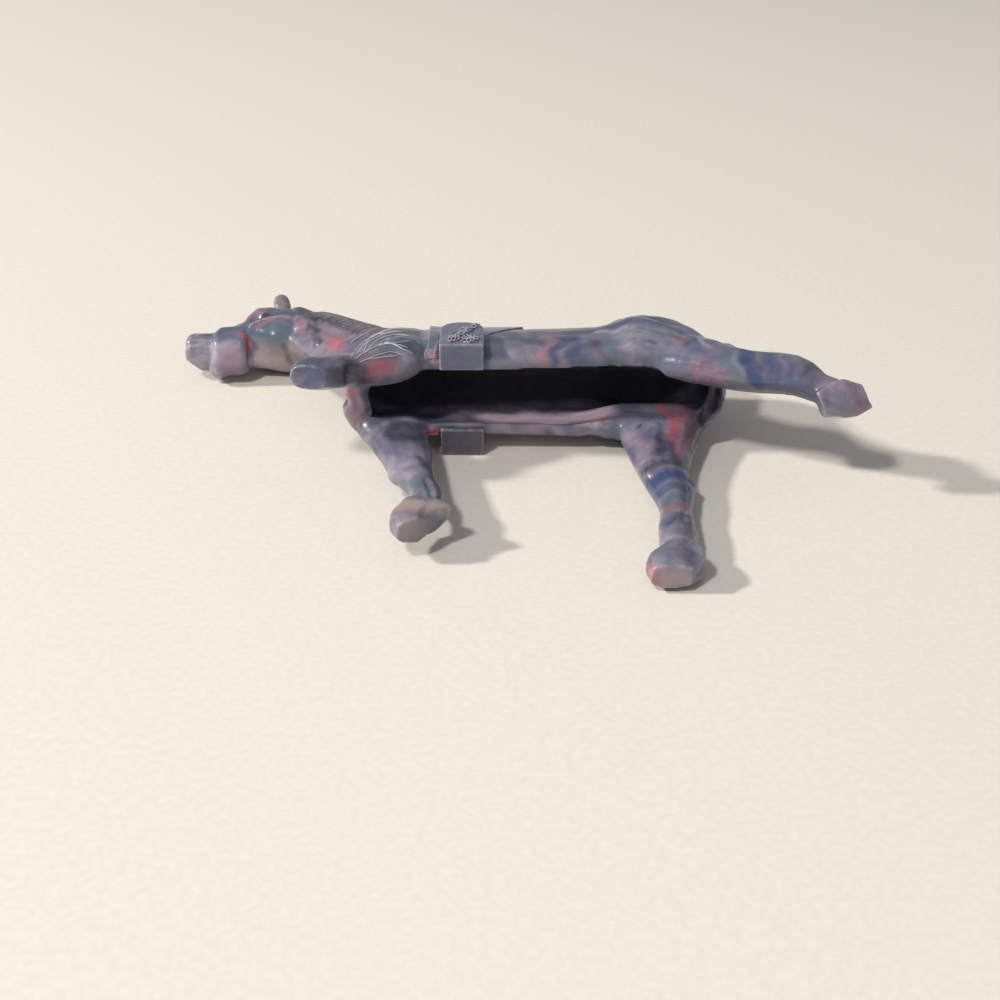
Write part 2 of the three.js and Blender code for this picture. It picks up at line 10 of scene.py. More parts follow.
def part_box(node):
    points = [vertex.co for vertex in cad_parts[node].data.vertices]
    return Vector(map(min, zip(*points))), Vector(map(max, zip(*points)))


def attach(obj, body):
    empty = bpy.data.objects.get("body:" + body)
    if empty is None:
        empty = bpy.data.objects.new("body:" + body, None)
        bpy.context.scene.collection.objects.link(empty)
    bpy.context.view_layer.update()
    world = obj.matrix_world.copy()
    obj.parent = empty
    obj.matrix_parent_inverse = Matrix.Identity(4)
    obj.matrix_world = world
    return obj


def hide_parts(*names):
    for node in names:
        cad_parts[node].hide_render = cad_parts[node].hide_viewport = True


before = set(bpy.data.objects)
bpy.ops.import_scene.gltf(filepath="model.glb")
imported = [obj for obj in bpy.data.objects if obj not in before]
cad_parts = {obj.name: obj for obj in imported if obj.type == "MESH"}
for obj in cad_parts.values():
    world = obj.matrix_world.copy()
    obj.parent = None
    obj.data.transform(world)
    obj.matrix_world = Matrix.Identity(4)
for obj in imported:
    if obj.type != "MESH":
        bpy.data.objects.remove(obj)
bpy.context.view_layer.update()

# Table, light and camera.
# The horse lies on a pale matt table top. A lamp beyond its head throws the long shadows, a second lamp
# and a window fill in from the camera's side, and the camera looks into the open belly.
MM = 0.001
STIRRUP_DROP = 1.2
GIRTH_FROM_MIDDLE = 13.2

scene = bpy.context.scene
scene.view_settings.view_transform = "Standard"
# The middle of the belly's rim is found from the two stirrups, which sit at the girth
left_low, left_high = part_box("left_stirrup")
right_low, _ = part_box("right_stirrup")
rim = Vector((
    (left_low.x + left_high.x) / 2 + GIRTH_FROM_MIDDLE * MM,
    left_low.y + STIRRUP_DROP * MM,
    (left_high.z + right_low.z) / 2,
))


def on_horse(x, y, z):
    """Millimetres from the middle of the belly's rim, as a point of the frame."""
    return rim + Vector((x, y, z)) * MM


FRAME_PIXELS = 1000
FOCAL_PIXELS = 1500
RIM_PIXEL = (540, 397.5)
RIM_DISTANCE = 255
LOOK_DOWN = math.radians(28.81)
SENSOR = 36
NEAR_CLIP = 0.01

forward = Vector((0, math.cos(LOOK_DOWN), -math.sin(LOOK_DOWN)))
upward = Vector((0, math.sin(LOOK_DOWN), math.cos(LOOK_DOWN)))
aside = Vector((1, 0, 0)) * (RIM_PIXEL[0] - FRAME_PIXELS / 2) / FOCAL_PIXELS
above = upward * (FRAME_PIXELS / 2 - RIM_PIXEL[1]) / FOCAL_PIXELS
sight = (forward + aside + above).normalized()
bpy.ops.object.camera_add(
    location=rim - sight * RIM_DISTANCE * MM, rotation=(math.pi / 2 - LOOK_DOWN, 0, 0))
camera = bpy.context.object
camera.data.sensor_width = SENSOR
camera.data.lens = SENSOR * FOCAL_PIXELS / FRAME_PIXELS
camera.data.clip_start = NEAR_CLIP
scene.camera = camera


def soft_light(name, direction, distance, size, power, colour):
    """A square light that shines at the horse from the given direction."""
    toward = Vector(direction).normalized()
    bpy.ops.object.light_add(type="AREA", location=rim + toward * distance)
    light = bpy.context.object
    light.name = name
    light.rotation_euler = toward.to_track_quat("Z", "Y").to_euler()
    light.data.size = size
    light.data.energy = power
    light.data.color = colour
    return light


WARM = (1, 0.975, 0.93)
MILD = (1, 0.985, 0.96)
COOL = (0.97, 0.985, 1)
soft_light("far_lamp", (-1.5, 0, 1), distance=1.8, size=0.13, power=29.5, colour=WARM)
near_lamp = soft_light("near_lamp", (-0.5, -0.6, 1), distance=1.3, size=0.14, power=8.6, colour=MILD)
near_lamp.visible_glossy = False
soft_light("window", (0.2, -1, 0.4), distance=1.6, size=1.4, power=3.2, colour=COOL)

ROOM_COLOUR = (0.94, 0.97, 1, 1)
ROOM_STRENGTH = 0.29
room = bpy.data.worlds.new("bright_room")
room.use_nodes = True
background = room.node_tree.nodes["Background"]
background.inputs["Color"].default_value = ROOM_COLOUR
background.inputs["Strength"].default_value = ROOM_STRENGTH
scene.world = room


def linear(red, green, blue):
    """A colour as seen, 0 to 255, as the linear value that a shader takes."""
    shares = (value / 255 for value in (red, green, blue))
    bent = (s / 12.92 if s <= 0.04045 else ((s + 0.055) / 1.055) ** 2.4 for s in shares)
    return (*bent, 1)


def node(tree, kind, feeds=None, **settings):
    """A node with its settings; each socket that is fed takes an output or a fixed value."""
    made = tree.nodes.new(kind)
    for key, value in settings.items():
        setattr(made, key, value)
    for socket, value in (feeds or {}).items():
        if isinstance(value, bpy.types.NodeSocket):
            tree.links.new(value, made.inputs[socket])
        else:
            made.inputs[socket].default_value = value
    return made


def new_material(name):
    """A new material, its node tree and its shader."""
    material = bpy.data.materials.new(name)
    material.use_nodes = True
    return material, material.node_tree, material.node_tree.nodes["Principled BSDF"]


MIX_FACTOR, MIX_A, MIX_B, MIX_RESULT = 0, 6, 7, 2


def blend_colours(tree, factor, below, over, mode="MIX"):
    """Two colours mixed by a factor; each may be an output or a fixed value."""
    made = node(
        tree, "ShaderNodeMix", {MIX_FACTOR: factor, MIX_A: below, MIX_B: over},
        data_type="RGBA", blend_type=mode)
    return made.outputs[MIX_RESULT]


def scaled(tree, source, low, high, first, last):
    """A value carried from one range to another and held inside it."""
    made = node(tree, "ShaderNodeMapRange", {0: source, 1: low, 2: high, 3: first, 4: last})
    return made.outputs[0]


TABLE_SIDE = 4
TABLE_DARK = linear(218, 211, 201)
TABLE_LIGHT = linear(223, 217, 208)
TABLE_ROUGHNESS = 0.62
TABLE_SHEEN = 0.25
FLECK_NOISE = {"Scale": 900, "Detail": 3}
FLECK_RANGE = (0.35, 0.7)

bpy.ops.mesh.primitive_plane_add(size=TABLE_SIDE)
table = bpy.context.object
table.name = "table"
table_top, tree, shader = new_material("matt_table_top")
place = node(tree, "ShaderNodeTexCoord").outputs["Object"]
fleck = node(tree, "ShaderNodeTexNoise", {"Vector": place, **FLECK_NOISE})
fleck_share = scaled(tree, fleck.outputs["Fac"], *FLECK_RANGE, 0, 1)
tone = blend_colours(tree, fleck_share, TABLE_DARK, TABLE_LIGHT)
tree.links.new(tone, shader.inputs["Base Color"])
shader.inputs["Roughness"].default_value = TABLE_ROUGHNESS
shader.inputs["Specular IOR Level"].default_value = TABLE_SHEEN
table.data.materials.append(table_top)

# Half shells.
# The body is two hollow mouldings of marbled plastic, cemented along the middle of the horse. Neck,
# head, legs and bridle are moulded on, and the belly is left open with a flat rim.
WELD = 0.002
# Points of the seam: how far along the horse, and how far aside
SEAM = (
    (200, 0), (-13.2, 0), (-28.03, -0.51), (-33.16, -1.25), (-40.14, -3.08), (-46.6, -5.1), (-200, -5.1),
)
SEAM_REACH = 0.2
SEAM_PUSH = 0.22
SHELL_GRAIN = 0.3
PARTING_LINE = 0.005
PARTING_SNAP = 1e-7
CRISP = math.radians(55)
RUB_AND_SWELL = (0.5, -0.52)
ROUND_OFF = (0.5,)
NO_LENGTH = 1e-9
SECTOR = 0.1


def take_up(piece):
    """Makes one piece the only selected and the active one."""
    bpy.ops.object.select_all(action="DESELECT")
    piece.select_set(True)
    bpy.context.view_layer.objects.active = piece


def in_edit_mode(piece, step):
    """Runs an edit-mode step on the whole of one piece."""
    take_up(piece)
    bpy.ops.object.mode_set(mode="EDIT")
    bpy.ops.mesh.select_all(action="SELECT")
    step()
    bpy.ops.object.mode_set(mode="OBJECT")


def modify(piece, kind, **settings):
    """Adds a modifier and applies it."""
    take_up(piece)
    modifier = piece.modifiers.new(kind.lower(), kind)
    for key, value in settings.items():
        setattr(modifier, key, value)
    bpy.ops.object.modifier_apply(modifier=modifier.name)


def start_from(node_name, name):
    """A new piece with a welded copy of a solid's skin."""
    piece = bpy.data.objects.new(name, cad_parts[node_name].data.copy())
    scene.collection.objects.link(piece)
    in_edit_mode(piece, lambda: bpy.ops.mesh.remove_doubles(threshold=WELD * MM))
    piece.data.materials.clear()
    return piece


def points_of(piece):
    """Its points, in millimetres from the middle of the rim."""
    flat = np.empty(len(piece.data.vertices) * 3)
    piece.data.vertices.foreach_get("co", flat)
    return (flat.reshape(-1, 3) - np.array(rim)) / MM


def normals_of(piece):
    """The outward direction at each of its points."""
    flat = np.empty(len(piece.data.vertices) * 3)
    piece.data.vertex_normals.foreach_get("vector", flat)
    return flat.reshape(-1, 3)


def move_points(piece, points):
    """Puts its points at new places, in millimetres from the middle of the rim."""
    piece.data.vertices.foreach_set("co", (points * MM + np.array(rim)).ravel())
    piece.data.update()


def keep_value(piece, name, values):
    """Keeps a value at each of its points, for its material."""
    attribute = piece.data.attributes.new(name, "FLOAT", "POINT")
    attribute.data.foreach_set("value", values.astype(np.float32))


def seam_at(x):
    """Where the seam runs: straight along the trunk and aside with the turned head."""
    along, across = np.array(SEAM[::-1]).T
    return np.interp(x, along, across)


def close_seam(piece, side):
    """Lengthens a half until it laps into the other one."""
    points = points_of(piece)
    off = points[:, 2] - seam_at(points[:, 0])
    points[np.abs(off) < SEAM_REACH, 2] -= side * SEAM_PUSH
    move_points(piece, points)


def remesh(piece, grain):
    """Skins a piece afresh with even faces."""
    modify(piece, "REMESH", mode="VOXEL", voxel_size=grain * MM, use_smooth_shade=True)


class Links:
    """The edges of a piece, to average a value over the neighbours of each point."""

    def __init__(self, piece):
        ends = np.empty(len(piece.data.edges) * 2, int)
        piece.data.edges.foreach_get("vertices", ends)
        self.first, self.second = ends.reshape(-1, 2).T
        self.count = np.maximum(np.bincount(ends, minlength=len(piece.data.vertices)), 1)

    def around(self, values):
        """The average of a value over the neighbours of each point."""
        total = np.bincount(self.first, values[self.second], len(self.count))
        return (total + np.bincount(self.second, values[self.first], len(self.count))) / self.count

    def around_points(self, points):
        """The middle of the neighbours of each point."""
        return np.stack([self.around(points[:, k]) for k in range(3)], 1)


def relax(piece, passes, weight, pushes=RUB_AND_SWELL):
    """Pushes points toward the middle of their neighbours; a negative push swells the piece back."""
    links = Links(piece)
    points = points_of(piece)
    for _ in range(passes):
        for push in pushes:
            points += push * weight[:, None] * (links.around_points(points) - points)
    move_points(piece, points)


def ramp(value, low, high):
    """0 below low, 1 above high and a smooth way between."""
    share = np.clip((value - low) / (high - low), 0, 1)
    return share * share * (3 - 2 * share)


def stretch(value, start, full, fading, end):
    """1 over a stretch, 0 outside it and a smooth way at both ends."""
    return ramp(value, start, full) * (1 - ramp(value, fading, end))


def close_to(value, level, near, far):
    """1 near a level, 0 far from it and a smooth way between."""
    return 1 - ramp(np.abs(value - level), near, far)


def within_edge(angles, radii, edge, directions):
    """How far each point lies inside an edge, and the first and the last direction that has an edge."""
    found = []
    for direction in directions:
        sector = radii[edge & (np.abs(angles - direction) < SECTOR)]
        if len(sector):
            found.append((direction, sector.max()))
    edge_angles, edge_radii = np.array(found).T
    return np.interp(angles, edge_angles, edge_radii) - radii, edge_angles[0], edge_angles[-1]


def along_line(line, spots):
    """Places along a line; a spot counts the points that lie before it."""
    return np.stack([np.interp(spots, range(len(line)), line[:, k]) for k in range(3)], -1)


def distance_to_line(points, line):
    """How far each point is from a line of straight runs, or from a single spot."""
    line = np.array(line, float)
    if len(line) == 1:
        return np.linalg.norm(points - line[0], axis=1)
    gaps = []
    for start, end in zip(line, line[1:]):
        run = end - start
        share = np.clip((points - start) @ run / max(run @ run, NO_LENGTH), 0, 1)
        gaps.append(np.linalg.norm(points - start - share[:, None] * run, axis=1))
    return np.min(gaps, axis=0)


class Skin:
    """The skin of a piece while strokes of the modelling tool are laid on it."""

    def __init__(self, piece, outside=None):
        self.piece = piece
        self.points = points_of(piece)
        self.normals = normals_of(piece)
        self.outside = np.ones(len(self.points)) if outside is None else outside
        self.lift = np.zeros(len(self.points))
        faces = [tuple(face.vertices) for face in piece.data.polygons]
        self.tree = BVHTree.FromPolygons([tuple(p) for p in self.points], faces)

    def lay(self, line, steps=8, proud=0.0):
        """A line through the given points, bent round and laid on the skin or a little proud of it."""
        line = np.array(line, float)
        spots = np.linspace(0, len(line) - 1, steps * (len(line) - 1) + 1)
        hits = [self.tree.find_nearest(p)[:2] for p in along_line(line, spots)]
        return np.array([spot + facing * proud for spot, facing in hits])

    def stroke(self, line, width, height):
        """Raises the skin along a line, or sinks it where the height is negative."""
        laid = self.lay(line)
        low, high = laid.min(0) - width, laid.max(0) + width
        near = np.flatnonzero(np.all((self.points > low) & (self.points < high), axis=1))
        if not len(near):
            return
        gap = distance_to_line(self.points[near], laid)
        fall = np.clip(1 - (gap / width) ** 2, 0, 1) ** 2
        self.lift[near] += height * fall * self.outside[near]

    def finish(self):
        """Moves the skin by all the strokes laid so far, but not below the table."""
        points = self.points + self.normals * self.lift[:, None]
        points[:, 2] = np.maximum(points[:, 2], -rim.z / MM)
        move_points(self.piece, points)


left_shell = start_from("left_half_shell", "left_shell")
right_shell = start_from("right_half_shell", "right_shell")
close_seam(left_shell, 1)
close_seam(right_shell, -1)
take_up(right_shell)
left_shell.select_set(True)
bpy.ops.object.join()
horse = right_shell
horse.name = "horse"
remesh(horse, SHELL_GRAIN)

# The facets are rubbed away, and less so on the rim, on the front of the face and on the four soles
SMOOTH_PASSES = 60
RIM_PASSES = 25
RIM_EDGE = (0.35, 1.1)
FACE_EDGE = (-54.6, -51.6)
LESS_RUBBED = 0.5
SOLE_RUBBED = 0.25
SOLE_REACH = 5
SOLE_DEPTH = 0.7
SOLES = (
    ((18.1, -45.4, -7.7), (0, -1, 0)),
    ((-19.4, -36.4, -5.2), (0.27, -0.963, 0)),
    ((52, -12.6, 5.5), (0.937, 0.156, 0.312)),
    ((-37.9, -9.7, 8.1), (-0.214, -0.962, 0.171)),
)
points = points_of(horse)
x, y, z = points.T
off_rim = ramp(np.abs(y), *RIM_EDGE)
rubbing = LESS_RUBBED + (1 - LESS_RUBBED) * np.minimum(off_rim, ramp(x, *FACE_EDGE))
for middle, facing in SOLES:
    away = points - np.array(middle)
    reach = np.linalg.norm(away, axis=1)
    off = np.abs(away @ np.array(facing))
    rubbing = np.where((reach < SOLE_REACH) & (off < SOLE_DEPTH), SOLE_RUBBED, rubbing)
relax(horse, SMOOTH_PASSES, rubbing)
relax(horse, RIM_PASSES, 1 - off_rim, ROUND_OFF)

# The wall of the hollow is where the trunk looks toward its own axis. Here x, y and z are the columns of
# points, so a change to one of them moves the points
TRUNK_AXIS = 6
TRUNK_HALF = 32.5
TRUNK_TOP = 20
TRUNK_BOTTOM = -0.3
HOLLOW_HALF = 9
DOWNWARD = -0.5
points = points_of(horse)
x, y, z = points.T
normals = normals_of(horse)
in_trunk = (np.abs(x) < TRUNK_HALF) & (y > TRUNK_BOTTOM) & (y < TRUNK_TOP)
looks_in = (y - TRUNK_AXIS) * normals[:, 1] + z * normals[:, 2] < 0
hollow = in_trunk & (np.abs(z) < HOLLOW_HALF) & looks_in
looks_down = normals[:, 1] < DOWNWARD

# The right wall is thick above its two legs, so their inner faces run on into the hollow. A row holds
# where a root starts, is full, fades and ends along the horse, then its level, its slope and its top
LEG_ROOTS = (
    (-33, -31, -23, -18, -3.4, 0.3, 7.5),
    (3, 15, 30, 33, -4.0, 0, 6.2),
)
ROOT_LEDGE = 2.5
right_wall = hollow & (z < 0)
for start, full, fading, end, level, slope, top in LEG_ROOTS:
    share = stretch(x, start, full, fading, end) * (1 - ramp(y, top, top + ROOT_LEDGE))
    short = np.maximum(level - slope * y - z, 0)
    z += np.where(right_wall, share * short, 0)

# The left wall swells a little where the thigh grows out of it
THIGH_SWELL = 0.9
THIGH_ALONG = (8, 19, 23, 29)
THIGH_FADE = (2, 6)
swell = stretch(x, *THIGH_ALONG) * (1 - ramp(y, *THIGH_FADE))
z -= np.where(hollow & (z > 0), THIGH_SWELL * swell, 0)

# Bands along the rim that are rounded off further down. A band has its level, its near and its far reach
ROOT_BAND = (1, 2.5, 4.5)
THIGH_BAND = (0, 1.0, 2.4)
CHEST_BAND = (0, 1.2, 2.4)
FORE_ROOT_END = -18
HIND_ROOT_START = 12
THIGH_INNER = 2
SWELL_EDGE = (0, 0.2)
CHEST_END = -27
root_band = (z < 0) * close_to(y, *ROOT_BAND) * ((x < FORE_ROOT_END) | (x > HIND_ROOT_START))
thigh_band = (z > THIGH_INNER) * close_to(y, *THIGH_BAND) * ramp(swell, *SWELL_EDGE)
thigh_band *= hollow | looks_down
chest_band = (x < CHEST_END) * close_to(y, *CHEST_BAND)

# The rim is scooped out under the tail and keeps a thin lip there
RIM_HALF = 0.9
SCOOP_CENTRE = 24
SCOOP_DIRECTIONS = np.linspace(-1.2, 1.2, 25)
SCOOP_DEPTH = 3.0
SCOOP_START = (26, 29)
SCOOP_FADE = (0, 8)
RIM_LIP = (0.5, 1.2)
flat_rim = (np.abs(y) < RIM_HALF) & looks_down
rear_rim = flat_rim & (x > SCOOP_CENTRE)
angles = np.arctan2(z, x - SCOOP_CENTRE)
radii = np.hypot(z, x - SCOOP_CENTRE)
inside_lip, first, last = within_edge(angles, radii, rear_rim, SCOOP_DIRECTIONS)
scoop = ramp(inside_lip, *RIM_LIP) * ramp(x, *SCOOP_START) * ((angles > first) & (angles < last))
scoop *= (1 - ramp(y, *SCOOP_FADE)) * (y > -RIM_HALF)
y += SCOOP_DEPTH * scoop

# Below the chest the rim is rolled inward into a thick round bead
BEAD_CENTRE = -22
BEAD_DIRECTIONS = np.linspace(-0.7, 1.0, 18)
BEAD_GAIN = 1.6
BEAD_WIDTH = (0.3, 2.0)
BEAD_SWEEP = (-0.5, -0.2, 0.5, 0.8)
BEAD_FADE = (1.5, 6)
front_rim = flat_rim & (x < BEAD_CENTRE)
angles = np.arctan2(z, BEAD_CENTRE - x)
radii = np.hypot(z, x - BEAD_CENTRE)
inside_edge = within_edge(angles, radii, front_rim, BEAD_DIRECTIONS)[0]
bead = ramp(inside_edge, *BEAD_WIDTH) * stretch(angles, *BEAD_SWEEP)
bead *= (1 - ramp(y, *BEAD_FADE)) * (y > -RIM_HALF) * (x < BEAD_CENTRE)
inward = BEAD_GAIN * bead / np.maximum(radii, 1)
x += inward * (BEAD_CENTRE - x)
z -= inward * z

# The left hind hoof is trimmed flat underneath
HOOF_UP = np.array((0, 0.482, 0.876))
HOOF_LEVEL = -1.25
HOOF_DEPTH = (0, 2.6)
HOOF_START = (44, 48)
HOOF_TRIM = 1.0
under = ramp(HOOF_LEVEL - points @ HOOF_UP, *HOOF_DEPTH) * ramp(x, *HOOF_START)
points += HOOF_TRIM * under[:, None] * HOOF_UP

# The right fore hoof has a marked heel and narrows to its sole
FORE_HOOF = -18
FORE_HOOF_REACH = 6
FORE_HOOF_TOP = (29, 30.5)
HEEL_OUT = 1.1
HEEL_BAND = (-31.4, 0.4, 1.8)
HEEL_BACK = (-18, -15.8)
HEEL_LEFT = (-7, -4)
SOLE_IN = 1.6
SOLE_DROP = (31.9, 34.6)
SOLE_RIGHT = (5, 8)
SOLE_BACK = (-20, -16)
fore_hoof = (np.abs(x - FORE_HOOF) < FORE_HOOF_REACH) * ramp(-y, *FORE_HOOF_TOP)
heel = close_to(y, *HEEL_BAND) * ramp(x, *HEEL_BACK) * ramp(z, *HEEL_LEFT)
narrow = np.maximum(ramp(-y, *SOLE_DROP), ramp(-z, *SOLE_RIGHT)) * ramp(x, *SOLE_BACK)
x += fore_hoof * (HEEL_OUT * heel - SOLE_IN * narrow)

# The ears lean a little toward the nose
EAR_LEAN = 0.7
EAR_ROOT = (41.5, 44.5)
EAR_BACK = (-46.8, -45.2)
x -= EAR_LEAN * ramp(y, *EAR_ROOT) * (1 - ramp(x, *EAR_BACK))

# The lips slope up toward the nose on the side that lies down
LIP_RISE = 1.1
LIP_AHEAD = (61.5, 65.5)
LIP_RIGHT = (4.5, 7.5)
z += LIP_RISE * ramp(-x, *LIP_AHEAD) * ramp(-z, *LIP_RIGHT)

# The bands of the rim are rounded off
BAND_PASSES = 30
THIGH_SHARE = 0.5
move_points(horse, points)
relax(horse, BAND_PASSES, np.max([root_band, chest_band, THIGH_SHARE * thigh_band], 0), ROUND_OFF)

# Painted shade darkens the hollow and the scoop under the tail, where little light reaches, but not the
# lit lower part of the right wall
SHADE_TILT = 0.1
SHADE_LEVEL = (9, 11.5)
SHADE_REAR = (27.5, 30)
SHADE_SCOOP = (0.05, 0.4)
x, y, z = points_of(horse).T
hollow_shade = np.where(z > 0, 1.0, ramp(y - SHADE_TILT * x, *SHADE_LEVEL))
hollow_shade = np.maximum(hollow_shade, ramp(x, *SHADE_REAR))
keep_value(horse, "inside", np.where(hollow, hollow_shade, ramp(scoop, *SHADE_SCOOP) * rear_rim))

# Each stroke of the modelling tool has a line along the skin, a width and a height
skin = Skin(horse, np.where(hollow, 0.0, 1.0))

# Muscles and folds of the trunk, the same on both sides
BODY_STROKES = (
    (((-28, 18, 6), (-26, 11, 7.5), (-25, 5, 8.5)), 4.5, 0.5),
    (((-20.5, 17, 6.5), (-20, 10, 7.6), (-19.6, 3, 8.2)), 1.6, -0.3),
    (((9, 0.8, 8), (13, 6, 8.8), (14, 12, 8)), 2.4, -0.35),
    (((13, 19, 4), (20, 17, 8), (27, 11, 8.5), (30, 4, 8)), 2.6, 0.4),
    (((12, 16, 6), (20, 13, 9.6), (27, 6, 9)), 1.6, -0.4),
    (((16, 11, 9.5), (21, 8, 10.4), (26, 3, 9.6)), 2.6, 0.35),
    (((15, 7, 9.4), (20, 4, 10.2), (25, 0, 9.4)), 1.4, -0.25),
    (((4, 17, 5), (8, 15, 7), (13, 14, 8)), 1.8, -0.25),
    (((-33, 7, 3.4),), 3.6, 0.5),
    (((-33.4, 14, 0), (-33.4, 7, 0), (-33, 1, 0)), 1.2, -0.5),
    (((-30, 25, 4.5), (-36, 32, 2.6), (-41, 38, 1)), 2.4, 0.3),
    (((-34, 18, 3.4), (-39, 25.6, 2), (-43, 31.6, 1)), 1.6, -0.35),
)
for side in (1, -1):
    for line, width, height in BODY_STROKES:
        skin.stroke([(x, y, side * z + seam_at(x)) for x, y, z in line], width, height)

# Eyes, nostrils, mouth, cheeks and bridle straps, measured from the middle of the turned head
HEAD_STROKES = (
    (((-52.2, 38.8, 4.3),), 1.5, 0.7),
    (((-54.0, 37.8, 3.6), (-52.3, 37.4, 4.6), (-50.5, 38.6, 4.8)), 0.7, -0.35),
    (((-64.8, 32.9, 2.2),), 1.1, -0.8),
    (((-66.0, 30.0, 1.6), (-63.6, 29.7, 3.0), (-61.2, 29.3, 3.0)), 0.6, -0.4),
    (((-46.8, 33.8, 5.2),), 4.0, 0.4),
    (((-45.4, 41.5, 4.2), (-42.1, 31.5, 6.1), (-39.9, 20.4, 6.4)), 1.3, 0.4),
    (((-54.0, 34.3, 4.0), (-52.2, 35.6, 4.6), (-48.6, 36.1, 5.1), (-45.6, 34.5, 5.1)), 0.9, 0.45),
    (((-53.2, 32.5, 4.0), (-50.2, 30.9, 4.4)), 1.0, -0.3),
)
HEAD_MIDDLE = -5.1
for side in (1, -1):
    for line, width, height in HEAD_STROKES:
        skin.stroke([(x, y, side * z + HEAD_MIDDLE) for x, y, z in line], width, height)

# On one side alone: knees, hocks, tendons and coronets of the legs, the breast, the lips and the jaw
SINGLE_STROKES = (
    (((23.6, -18.6, -7.6),), 2.2, 0.7),
    (((22.6, -22, -5.6), (22, -28, -5.6), (21, -33, -5.8)), 0.9, -0.3),
    (((16.6, -17, -5.2), (18, -12, -4.2), (19.4, -4, -4)), 1.5, 0.35),
    (((22.8, -34, -8),), 1.8, 0.4),
    (((-23.6, -17.5, -5.8),), 2.2, 0.5),
    (((-18.4, -24, -3.2), (-17.2, -29, -2.8)), 0.9, -0.3),
    (((-15.4, -29.6, -4.8),), 1.6, 0.45),
    (((40.8, -5.6, 6.4),), 2.0, 0.5),
    (((34, -8, 8.6), (40, -10, 8.4)), 1.2, -0.25),
    (((-33.0, -4.6, 7),), 1.8, 0.35),
    (((-33.2, 1.2, -4.6),), 5.5, 1.1),
    (((-31.6, -1.6, -5.4),), 4.0, 0.9),
    (((-63, 28.6, -7.8), (-61.5, 28.2, -8)), 3.0, 0.8),
    (((-59.5, 27.2, -8.4), (-56.5, 27, -8.4)), 2.8, 0.35),
)
for line, width, height in SINGLE_STROKES:
    skin.stroke(line, width, height)
skin.finish()
skin = Skin(horse)

WEAR_REACH = 2


def note_wear(piece):
    """Keeps how far each point stands out from its surroundings, for rubbed edges."""
    links = Links(piece)
    points = points_of(piece)
    middle = points
    for _ in range(WEAR_REACH):
        middle = links.around_points(middle)
    out = np.sum((points - middle) * normals_of(piece), 1)
    keep_value(piece, "stands_out", links.around(links.around(out)))


